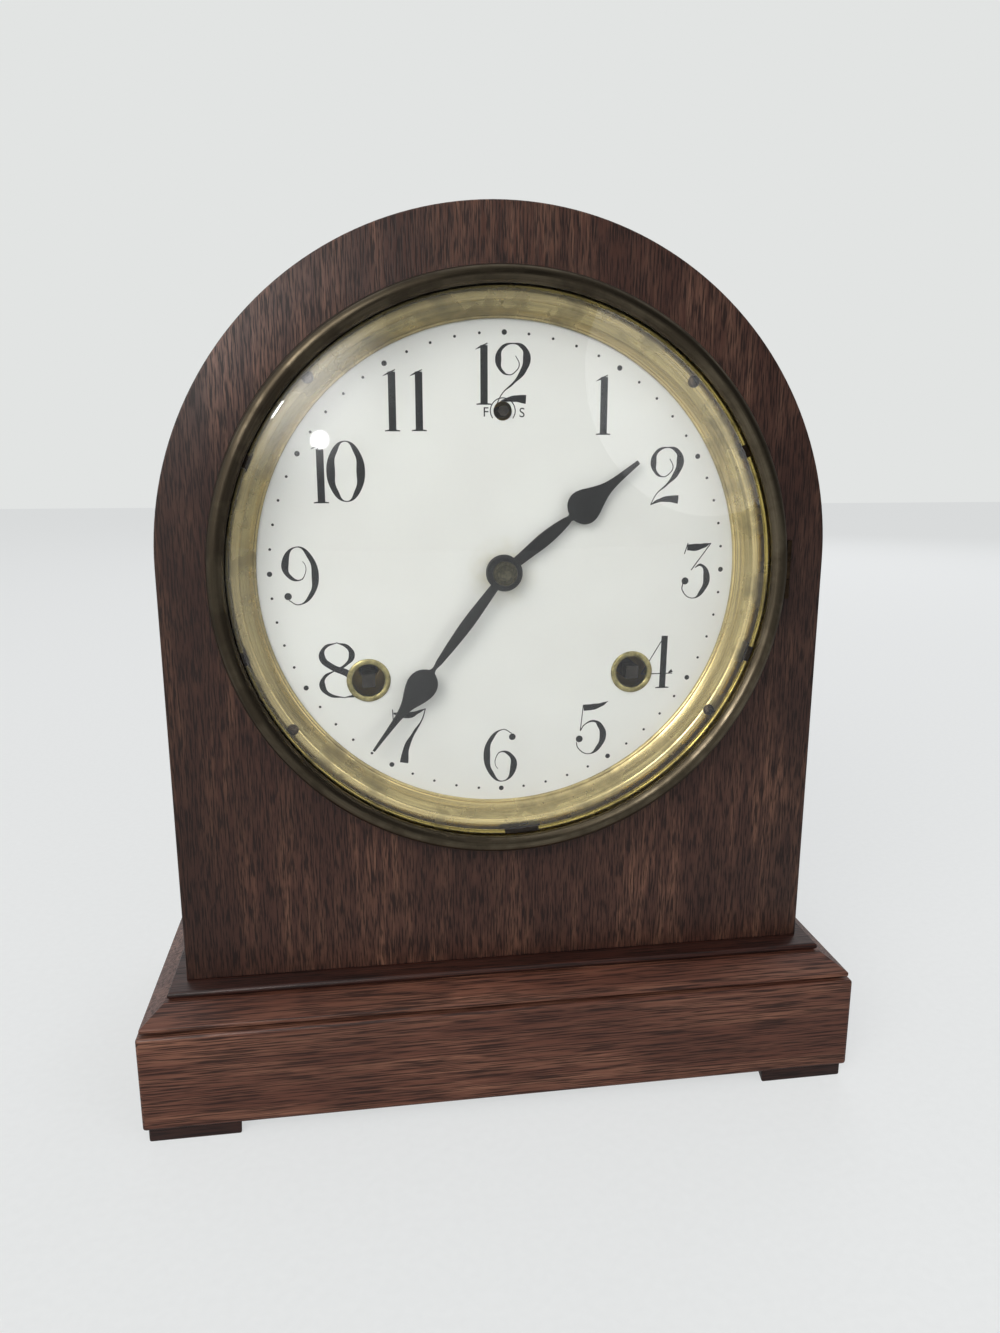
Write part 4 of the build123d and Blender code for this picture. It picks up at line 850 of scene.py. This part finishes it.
def plinth():
    """Four boards round the base, with their edges eased."""
    half_width, half_depth = plinth_high.x / MM, plinth_high.y / MM
    tall = (plinth_high.z - plinth_low.z) / MM
    outside = [(right * half_width, back * half_depth) for right, back in corners]
    half_width -= plinth_wall
    half_depth -= plinth_wall
    inside = [(right * half_width, back * half_depth) for right, back in corners]
    boards = flat_line("plinth_boards", [outside, inside], tall)
    boards.location.z = plinth_low.z + tall / 2 * MM
    settle(boards)
    tidy(boards)
    softened(boards, plinth_edge_round)
    bpy.ops.object.shade_smooth_by_angle(angle=radians(crease_angle))
    finished(boards, "case", "base_wood", base_veneer, "plinth_frame")


def feet():
    """Four bracket feet, each undercut towards the middle."""
    low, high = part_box("feet")
    size = Vector(((foot_length + foot_slope) * MM, foot_depth * MM, high.z - low.z))
    bpy.ops.mesh.primitive_cube_add(size=1, location=low + size / 2)
    foot = started("foot")
    foot.scale = size
    settle(foot)
    edit(foot)
    inner = low.x + size.x - foot_slope * MM
    bottom = low.z + foot_slope * MM / 9
    pick(foot, "EDGE", lambda middle, _: middle.x > inner and middle.z < bottom)
    bpy.ops.transform.translate(value=(-foot_slope * MM, 0, 0))
    bpy.ops.object.mode_set(mode="OBJECT")
    softened(foot, foot_edge_round)
    turns = [Matrix.Diagonal((right, back, 1, 1)) for right, back in corners]
    four = copied("bracket_feet", foot, turns)
    finished(tidy(four), "case", "base_wood", foot_wood, "feet")


moulding()
plinth()
feet()


# Bezel, glass and reflector


def bezel():
    """The half round brass bezel."""
    crest_middle = (bezel_wall_radius - bezel_crest_radius, bezel_crest_front + bezel_crest_radius)
    ease_in, ease_back = bezel_foot_ease
    neck_radius = bezel_wall_radius - bezel_neck_inset
    neck_back, neck_front = bezel_neck_fronts
    inside_front, inside_back = bezel_inside_radii
    profile = [
        (bezel_foot_radius, bezel_back),
        (bezel_foot_radius, bezel_foot_front + ease_back),
        (bezel_foot_radius - ease_in, bezel_foot_front),
        (neck_radius, bezel_foot_front),
        (neck_radius, neck_back),
        (bezel_wall_radius, neck_front),
        *bend(crest_middle, bezel_crest_radius, 0, bezel_crest_sweep, 14),
        (bezel_lip_radius, bezel_lip_front),
        (bezel_lip_radius, bezel_lip_front + bezel_wall),
        (inside_front, bezel_lip_front + bezel_wall),
        (inside_back, bezel_back),
        (bezel_foot_radius, bezel_back),
    ]
    ring = turned("bezel_moulding", profile)
    finished(ring, "bezel", "aged_brass", bezel_brass, "bezel_ring")


def dome(rim):
    """One side of the glass, from the depth of its rim."""
    curve = (glass_dome_radius**2 + glass_rise**2) / (2 * glass_rise)
    radii = [glass_dome_radius * share for share in glass_shares]
    return [(r, rim - glass_rise + curve - sqrt(curve**2 - r**2)) for r in radii]


def convex_glass():
    """The domed pane with its flat rim."""
    front = glass_back - glass_thickness
    outer = [*reversed(dome(front)), (glass_radius, front), (glass_radius, glass_back)]
    pane = turned("convex_glass", [*outer, *dome(glass_back), (0, glass_back - glass_rise)])
    finished(pane, "bezel", "clear_glass", glass, "bezel_glass")


def slab(name, share, depth, size):
    """A small block on the glass ring, turned to lie along it."""
    across, up = around(sash_bead_ring, share)
    bpy.ops.mesh.primitive_cube_add(size=1, location=place(across, up, depth))
    block = started(name)
    block.scale = Vector(size) * MM
    block.rotation_euler = (0, 2 * pi * share, 0)
    settle(block)
    return block


def glass_ring():
    """The bright bead that holds the glass, its slots, and the tabs bent over behind them, near black as
    painted shade.
    """
    bead = bend((sash_bead_ring, sash_bead_depth), sash_bead_radius, 0, 360, 16)
    sash = turned("glass_ring_bead", bead)
    tabs = []
    for share, length in sash_slots:
        slot = (length, slot_cutter_size, slot_cutter_size)
        cut(sash, slab("slot_cutter", share, sash_bead_depth, slot))
        size = (length + tab_overlap, tab_metal, tab_width)
        tab = slab("tab", share, sash_bead_depth + tab_setback, size)
        tabs.append(softened(tab, tab_edge_round, 2))
    # The tabs are near black as painted shade in the hollow behind the slots
    finished(joined("glass_ring_slot_shade_tabs", *tabs), "bezel", "aged_brass", slot_shade_tab_metal)
    inner, outer = flange_radii
    front, back = flange_depths
    flange = [(inner, front), (outer, front), (outer, back), (inner, back), (inner, front)]
    sash = joined("glass_ring", tidy(sash), turned("glass_ring_flange", flange))
    finished(sash, "bezel", "pale_brass", sash_brass, "glass_sash")


def reflector():
    """The spun brass ring between dial and bezel, with its rolled lip, its cone and its fold."""
    lip_middle = (surround_lip_radius + surround_lip_roll, surround_back - surround_lip_roll)
    shoulder_middle = (surround_shoulder_radius + surround_shoulder_roll, surround_shoulder_depth)
    profile = [
        (surround_lip_radius, surround_back),
        *bend(lip_middle, surround_lip_roll, 180, 320, 8),
        surround_cone_foot,
        *bend(shoulder_middle, surround_shoulder_roll, 190, 262, 5),
        (surround_outer_radius, surround_front),
        (surround_outer_radius, 0),
        *surround_hidden_side,
        (surround_lip_radius, surround_back),
    ]
    ring = turned("dial_reflector", profile)
    finished(ring, "case", "pale_brass", surround_brass, "dial_surround")


def reflector_screws():
    """Four slotted round heads, each stopped at its own angle."""
    screw = turned("screw", screw_profile, steps=32)
    bpy.ops.mesh.primitive_cube_add(size=1, location=place(0, 0, screw_slot_depth))
    slot = started("slot_cutter")
    slot.scale = Vector(screw_slot) * MM
    settle(slot)
    cut(screw, slot)
    turns = []
    for share, turn in zip(screw_shares, screw_turns):
        to_place = Matrix.Translation(place(*around(screw_ring_radius, share), 0))
        turn = Matrix.Rotation(radians(turn), 4, "Y")
        turns.append(to_place @ turn @ Matrix.Translation(-place(0, 0, 0)))
    screws = copied("reflector_screws", screw, turns)
    finished(screws, "case", "screw_metal", screw_steel, "surround_screws")


bezel()
convex_glass()
glass_ring()
reflector()
reflector_screws()


# Dial

# Strokes of each figure, as (across from its middle, up from its foot, the pen's width there)
one_foot = ("bow", [(-2.3, 0.2, 0.35), (0, 0.35, 0.6), (2.2, 0.2, 0.35)])
one = [
    ("line", [(0, 0.3, 2.2), (0, 17.2, 2.2)]),
    ("bow", [(-2.5, 16, 0.2), (-1.1, 16.7, 0.5), (1.1, 17.8, 0.3)]),
    one_foot,
]
two = [
    (
        "bow",
        [(0.6, 14.3, 0.25), (1.7, 11.7, 0.3), (0.6, 9.8, 0.3), (-1.3, 8.8, 0.3), (-3.7, 10, 0.9)]
        + [(-4.7, 13.2, 1.9), (-3.6, 16.5, 1), (-0.2, 17.8, 0.35), (3, 16.6, 1.4), (4, 13.7, 2.4)]
        + [(3, 10.2, 1.8), (-0.2, 6.3, 0.6), (-3.3, 3.6, 0.3), (-5.2, 0.2, 0.25)],
    ),
    ("bow", [(-5.2, 0.1, 0.3), (-2.8, 1.3, 1), (0.4, 1.9, 1.9), (3.8, 1.7, 2.6)]),
]
three = [
    ("bow", [(-3.2, 16.6, 1.9), (-0.5, 16.6, 2.3), (2.2, 17.1, 1.5), (4.7, 17.9, 0.2)]),
    ("line", [(-3, 18, 0.3), (-4.1, 14.5, 0.3)]),
    ("line", [(4.6, 17.8, 0.3), (-1.6, 9.3, 0.35)]),
    (
        "bow",
        [(-0.4, 10.1, 0.3), (1.6, 10.9, 0.8), (3.7, 6.7, 2.2), (2.4, 2.6, 1.5), (-0.6, 0.15, 0.3)]
        + [(-4.3, 2.8, 0.35), (-4.2, 5.2, 0.4)],
    ),
    ("dot", [(-3.5, 5.8, 1.15)]),
]
four = [
    ("line", [(0, 0.3, 2.1), (0.3, 17.6, 2.1)]),
    one_foot,
    ("line", [(-0.4, 16.5, 0.3), (-7.2, 5.1, 0.3)]),
    ("line", [(-7.2, 5, 0.3), (3.3, 5, 0.3)]),
    ("line", [(2, 5.2, 0.3), (3.2, 5.9, 1.2)]),
]
five = [
    ("bow", [(-2.7, 16, 2.1), (0.6, 16.2, 2), (3.4, 16.9, 1.2), (5.5, 17.9, 0.2)]),
    ("line", [(-2.8, 17, 0.3), (-3.7, 8.2, 0.3)]),
    (
        "bow",
        [(-3.7, 8.1, 0.3), (-2.3, 10.2, 0.35), (1, 11.3, 0.7), (3, 9.6, 1.7), (4, 6.6, 2.2)]
        + [(2.6, 2.5, 1.5), (-0.6, 0.15, 0.3), (-4.3, 2.2, 0.35), (-5, 4.4, 0.3)],
    ),
    ("dot", [(-4, 5.4, 1.15)]),
]
six = [
    (
        "bow",
        [(3.6, 16.4, 0.3), (0.7, 17.8, 0.3), (-3.4, 14.4, 1.4), (-4.6, 9.2, 2.2), (-3.4, 3.6, 1.5)]
        + [(0.7, 0.15, 0.3), (4.3, 5.5, 2.2), (3, 9.2, 1.2), (-0.1, 10.2, 0.35)]
        + [(-1.6, 8.3, 0.25), (-1.8, 5.9, 0.2), (-1, 4.5, 0.2)],
    ),
    ("dot", [(3.8, 15.2, 1.1)]),
]
seven = [
    ("line", [(-5.2, 18, 0.3), (-5, 14.2, 0.3)]),
    ("bow", [(-4.9, 16.7, 0.6), (-2.5, 16.2, 2), (0.5, 16, 2), (3, 16.9, 1), (5.3, 17.9, 0.25)]),
    ("bow", [(5.3, 17.9, 0.3), (4.2, 14.4, 0.4), (1.4, 9.9, 0.9), (-0.9, 5.4, 1.8), (-1.9, 0.1, 2.7)]),
]
eight = [
    (
        "bow",
        [(-0.7, 17.8, 0.3), (-4.5, 16.3, 1), (-5.3, 13.1, 2), (-2.5, 10.2, 1.9), (2.3, 7.9, 2.2)]
        + [(5.6, 4.8, 2.4), (5.1, 1.4, 1.2), (1.1, 0.15, 0.3)],
    ),
    (
        "bow",
        [(-0.7, 17.8, 0.3), (2.7, 16.3, 1.2), (3.8, 13.6, 1.9), (1.9, 10.8, 0.9), (-1.7, 8.9, 0.35)]
        + [(-4.9, 6.9, 1), (-5.6, 4.2, 1.9), (-3.7, 1.4, 1.1), (1.1, 0.15, 0.3)],
    ),
]
nine = [
    (kind, [(-across, figure_height - up, width) for across, up, width in points])
    for kind, points in six
]
nought = [
    (
        "loop",
        [(4.45, 9, 2.6), (3.4, 14.6, 1.7), (0, 17.85, 0.3), (-3.4, 14.6, 1.7), (-4.45, 9, 2.6)]
        + [(-3.4, 3.4, 1.7), (0, 0.15, 0.3), (3.4, 3.4, 1.7)],
    )
]
# Each figure on the dial, as (its strokes, right and up from the dial's middle)
figures = [
    (one, -5.7, 59.5),
    (two, 3.3, 59.5),
    (one, 31.4, 50.8),
    (two, 52.5, 29.3),
    (three, 63.2, -0.8),
    (four, 53.3, -30.5),
    (five, 29.6, -52.2),
    (six, -0.6, -60.3),
    (seven, -30.3, -52.4),
    (eight, -51.5, -30.1),
    (nine, -62.5, -0.3),
    (one, -55.1, 30.5),
    (nought, -47.6, 30.9),
    (one, -33.3, 51.6),
    (one, -25.3, 51.7),
]

# The arc round the regulator hole, from the fast mark over the top to the slow mark
mark_radius = 3.8
mark_height = 1.5
mark_pen = 0.3
mark_turns = [radians(25 * step - 125) for step in range(11)]
mark_points = [(mark_radius * sin(turn), mark_height + mark_radius * cos(turn)) for turn in mark_turns]
ring_mark = [("bow", [(*point, mark_pen) for point in mark_points])]


def pen_nib():
    """A straight line a millimetre long, that the pen draws out along each stroke."""
    curve = bpy.data.curves.new("pen_nib", "CURVE")
    line = curve.splines.new("POLY")
    line.points.add(1)
    for knot, across in zip(line.points, (-0.5, 0.5)):
        knot.co = (across * MM, 0, 0, 1)
    nib = bpy.data.objects.new("pen_nib", curve)
    bpy.context.scene.collection.objects.link(nib)
    return nib


def dot(across, up, lift, radius, sides):
    """A flat round dot of ink."""
    at = Vector((across, up, lift)) * MM
    bpy.ops.mesh.primitive_circle_add(vertices=sides, radius=radius * MM, fill_type="NGON", location=at)
    printed = bpy.context.object
    settle(printed)
    return printed


def written(nib, strokes, across, up, height=figure_height):
    """One figure, drawn with a pen whose width changes along each stroke."""
    curve = bpy.data.curves.new("figure", "CURVE")
    curve.dimensions = "3D"
    curve.twist_mode = "Z_UP"
    curve.bevel_mode = "OBJECT"
    curve.bevel_object = nib
    curve.resolution_u = 8
    dots = []
    for lift, (kind, points) in enumerate(strokes):
        if kind == "dot":
            dots += points
            continue
        line = curve.splines.new("BEZIER")
        line.bezier_points.add(len(points) - 1)
        line.use_cyclic_u = kind == "loop"
        line.radius_interpolation = "EASE"
        for knot, (right, high, width) in zip(line.bezier_points, points):
            knot.co = Vector((across + right, up - height / 2 + high, lift * ink / 7)) * MM
            knot.handle_left_type = knot.handle_right_type = "VECTOR" if kind == "line" else "AUTO"
            knot.radius = width
    drawn = bpy.data.objects.new("figure", curve)
    bpy.context.scene.collection.objects.link(drawn)
    only(drawn)
    bpy.ops.object.convert(target="MESH")
    pieces = [bpy.context.object]
    for right, high, radius in dots:
        pieces.append(dot(across + right, up - height / 2 + high, ink / 2, radius, 24))
    return joined("figure", *pieces)


def letter(text, across, up, tall=regulator_letter_height):
    """One small plain capital."""
    curve = bpy.data.curves.new("letter", "FONT")
    curve.body = text
    curve.size = tall * MM
    curve.align_x = curve.align_y = "CENTER"
    drawn = bpy.data.objects.new("letter", curve)
    drawn.location = (across * MM, up * MM, 0)
    bpy.context.scene.collection.objects.link(drawn)
    only(drawn)
    bpy.ops.object.convert(target="MESH")
    settle(bpy.context.object)
    return bpy.context.object


def printed_dots():
    """The 60 minute dots, with a larger one at each hour."""
    dots = []
    for share in range(60):
        across, up = around(dot_ring_radius, share / 60 + dial_turn / 360)
        radius = hour_dot_radius if share % 5 == 0 else minute_dot_radius
        dots.append(dot(across, up, 0, radius, 16))
    return dots


def dial_card():
    """The round dial with its four holes."""
    winding_across, winding_up = winding_place
    grommet_seat_radius = grommet_hole_radius + grommet_seat_gap
    holes = [
        circle(centre_hole_radius),
        circle(regulator_hole_radius, (0, regulator_height)),
        circle(grommet_seat_radius, (winding_across, winding_up)),
        circle(grommet_seat_radius, (-winding_across, winding_up)),
    ]
    outline = circle(dial_radius, steps=ring_steps)
    card = flat_line("dial_card", [outline, *holes], dial_thickness)
    stand(card, dial_face, dial_thickness)
    finished(card, "case", "dial_paint", dial_white, "dial_plate")


def dial_figures():
    """All the printing on the dial, cut away where the grommets and the regulator hole are."""
    nib = pen_nib()
    pieces = [written(nib, *figure) for figure in figures]
    pieces.append(written(nib, ring_mark, 0, regulator_height - mark_height, 0))
    bpy.data.objects.remove(nib)
    pieces += printed_dots()
    pieces += [letter(*mark) for mark in regulator_letters]
    print_ink = joined("dial_figures", *pieces)
    edit(print_ink)
    winding_across, winding_up = winding_place
    grommets = [Vector((side * winding_across, winding_up)) * MM for side in (-1, 1)]
    covered = (grommet_radius - grommet_cover) * MM

    def is_covered(middle, _):
        return any((middle.xy - at).length < covered for at in grommets)

    pick(print_ink, "FACE", is_covered)
    bpy.ops.mesh.delete(type="FACE")
    bpy.ops.object.mode_set(mode="OBJECT")
    print_ink.rotation_euler = (pi / 2, 0, 0)
    print_ink.location = place(0, 0, dial_face - ink * ink_sunk_share)
    settle(print_ink)
    modified(print_ink, "SOLIDIFY", thickness=ink * MM, offset=0)
    hole = [(regulator_hole_radius, dial_face + side * 2 * overrun) for side in (-1, 1)]
    cut(print_ink, turned("hole_cutter", hole, (0, regulator_height), 48), True)
    bpy.ops.object.shade_flat()
    finished(print_ink, "case", "hand_paint", figure_black)


def winding_grommets():
    """The two brass eyelets in the winding holes."""
    winding_across, winding_up = winding_place
    profile = grommet_profile + grommet_tube
    rings = [turned("grommet", profile, (side * winding_across, winding_up), 64) for side in (-1, 1)]
    rings = joined("winding_hole_grommets", *rings)
    finished(rings, "case", "pale_brass", grommet_brass, "winding_grommets")


dial_card()
dial_figures()
winding_grommets()


# Hands


def hand(name, side, angle, front, bore):
    """A spade hand from (along, half width) pairs: a swelling stem, a round backed leaf and a tip."""
    ends = (side[0], side[-1])
    left = [(-width, along, *["corner"] * ((along, width) in ends)) for along, width in side]
    right = [(-across, *rest) for across, *rest in reversed(left)]
    leaf = flat_line(name, [left + right], hand_thickness, hand_thickness * hand_edge_share, smooth=True)
    stand(leaf, front, hand_thickness, turn=angle)
    edge = hand_thickness * hub_edge_share
    boss = [(bore, front), (hub_radius - edge, front), (hub_radius, front + edge)]
    boss += [(hub_radius, front + hand_thickness), (bore, front + hand_thickness), (bore, front)]
    return joined(name, leaf, turned("boss", boss, steps=64))


def hands():
    """The two spade hands and the turned collet that holds them."""
    side = minute_stem + minute_leaf + minute_point
    minute = hand("minute_spade_hand", side, minute_hand_angle, minute_hand_depth, minute_hand_bore)
    finished(minute, "centre", "hand_paint", hand_black, "minute_hand")
    side = hour_stem + hour_leaf + hour_point
    hour = hand("hour_spade_hand", side, hour_hand_angle, hour_hand_depth, hour_hand_bore)
    finished(hour, "hour", "hand_paint", hand_black, "hour_hand")
    low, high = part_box("hand_nut")
    front = (low.y - panel_low.y) / MM
    back = (high.y - panel_low.y) / MM
    profile = [(radius, front + depth) for radius, depth in (*collet_face, collet_rim)]
    collet = turned("hand_collet", [*profile, (collet_rim[0], back)], steps=48)
    finished(collet, "centre", "hand_nut_metal", nut_steel, "hand_nut")


hands()


# Back fittings


def door_knob():
    """The door's small turned knob."""
    low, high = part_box("door_knob")
    across = (low.x + high.x) / 2 / MM
    up = (low.z + high.z) / 2 / MM - dial_height
    front = (low.y - panel_low.y) / MM
    back = (high.y - panel_low.y) / MM
    radius = (high.x - low.x) / 2 / MM
    roll = radius * knob_round_share
    profile = [(radius * wide, front + (back - front) * out) for wide, out in knob_neck_shares]
    profile += bend((radius * knob_crown_share, back - roll), roll, -30, 90, 6)
    profile += [(knob_tip_radius, back)]
    knob = turned("door_knob_turning", profile, (across, up), 64)
    finished(knob, "door", "aged_brass", turned_brass, "door_knob")


def turn_button():
    """The brass button, round at both ends, that keeps the door shut."""
    low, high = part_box("turn_button")
    middle = ((low.x + high.x) / 2 / MM, (low.z + high.z) / 2 / MM - dial_height)
    half_width, half_height = (high.x - low.x) / 2 / MM, (high.z - low.z) / 2 / MM
    thickness = (high.y - low.y) / MM
    upper = bend((0, half_height - half_width), half_width, 0, 180, 16)
    outline = upper + [(-across, -up) for across, up in upper]
    plate = flat_line("door_turn_button", [outline], thickness, button_edge_round)
    stand(plate, (low.y - panel_low.y) / MM, thickness, middle)
    finished(plate, "button", "aged_brass", turned_brass, "turn_button")


door_knob()
turn_button()


# Floor, light and camera


def floor():
    """A plain sheet of paper under the clock."""
    bpy.ops.mesh.primitive_plane_add(size=floor_size, location=(0, 0, 0))
    paper = started("floor_paper")
    edit(paper)
    bpy.ops.mesh.subdivide(number_cuts=3)
    bpy.ops.object.mode_set(mode="OBJECT")
    paper.data.materials.append(floor_paper())


def room():
    """Pale behind and above the clock, and dark towards the camera where metal mirrors it."""
    world = bpy.data.worlds.new("studio_room")
    bpy.context.scene.world = world
    world.use_nodes = True
    tree = world.node_tree
    tree.nodes.clear()
    lit_side = (-0.55, 0.9, 0.35)
    heading = add(tree, "TexCoord", out="Generated")
    heading = add(tree, "VectorMath", {0: heading, 1: lit_side}, "Value", operation="DOT_PRODUCT")
    heading = add(tree, "MapRange", {0: heading, 1: -0.5, 2: 0.6})
    walls = add(tree, "Mix", {0: heading, 6: "#3c3c3d", 7: "#f2f4f5"}, 2, data_type="RGBA")
    soft = add(tree, "Background", {"Color": "#fafbfb", "Strength": 0.42})
    mirrored = add(tree, "Background", {"Color": walls, "Strength": 1.0})
    seen = add(tree, "Background", {"Color": "#e2e4e3", "Strength": 1.0})
    glossy = straight_rays(tree, "Is Glossy Ray")
    straight = straight_rays(tree, "Is Camera Ray", "Is Transmission Ray")
    mixed = add(tree, "MixShader", {0: glossy, 1: soft, 2: mirrored})
    mixed = add(tree, "MixShader", {0: straight, 1: mixed, 2: seen})
    add(tree, "OutputWorld", {"Surface": mixed})


def faded(light):
    """Fades a lamp towards its rim, so that what mirrors it shows no hard edge.

    Its middle is three times as strong, which makes up for the light that its rim loses."""
    light.use_nodes = True
    tree = light.node_tree
    tree.nodes.clear()
    across = add(tree, "NewGeometry", out="Parametric")
    across = add(tree, "VectorMath", {0: across, 1: (0.5, 0.5, 0)}, operation="SUBTRACT")
    across = add(tree, "VectorMath", {0: across, 1: (2, 2, 0)}, operation="MULTIPLY")
    rim = add(tree, "VectorMath", {0: across}, "Value", operation="LENGTH")
    inputs = {0: rim, 1: 1.0, 2: 0.0, 4: 3.0}
    strength = add(tree, "MapRange", inputs, interpolation_type="SMOOTHSTEP")
    glow = add(tree, "Emission", {"Strength": strength})
    add(tree, "OutputLight", {"Surface": glow})


# Each lamp's place and size in metres, its power and colour, whether metal and glass mirror it, and
# whether its edge is soft
lamps = [
    ("window", (-1.15, -1.35, 1.25), 1.1, 14.6, "#fffcf6", True, False),
    ("bulb", (-0.383, -0.972, 0.446), 0.06, 0.42, "#ffffff", True, True),
    ("glow", (-0.55, -1.09, 0.71), 0.85, 3.0, "#ffffff", True, True),
    ("back_fill", (0.9, 1.7, 1.2), 1.4, 9.0, "#fbfcff", False, False),
    ("fill", (1.3, -1.5, 0.9), 1.4, 7.5, "#fbfcff", False, False),
]


def lighting():
    """Round lamps, all turned to the middle of the clock's front."""
    target = Vector((0, panel_low.y, lamp_aim_height))
    for name, spot, size, power, colour, mirrored, soft in lamps:
        light = bpy.data.lights.new(name, "AREA")
        light.shape = "DISK"
        light.size = size
        light.energy = power
        light.color = linear(colour)[:3]
        if soft:
            faded(light)
        lamp = bpy.data.objects.new(name, light)
        lamp.location = spot
        lamp.visible_glossy = mirrored
        lamp.rotation_euler = (target - lamp.location).to_track_quat("-Z", "Y").to_euler()
        bpy.context.scene.collection.objects.link(lamp)


def photograph_view():
    """The camera at the photograph's place, angle and lens."""
    lens = bpy.data.cameras.new("photograph_view")
    lens.sensor_fit = "AUTO"
    lens.sensor_width = sensor_side
    lens.lens = focal_length / frame_long_side * sensor_side
    camera = bpy.data.objects.new("photograph_view", lens)
    camera.location = Vector(camera_place) * MM
    camera.rotation_euler = (pi / 2 + radians(camera_tilt), 0, -radians(camera_turn))
    bpy.context.scene.collection.objects.link(camera)
    bpy.context.scene.camera = camera
    bpy.context.scene.view_settings.view_transform = "Standard"


floor()
room()
lighting()
photograph_view()
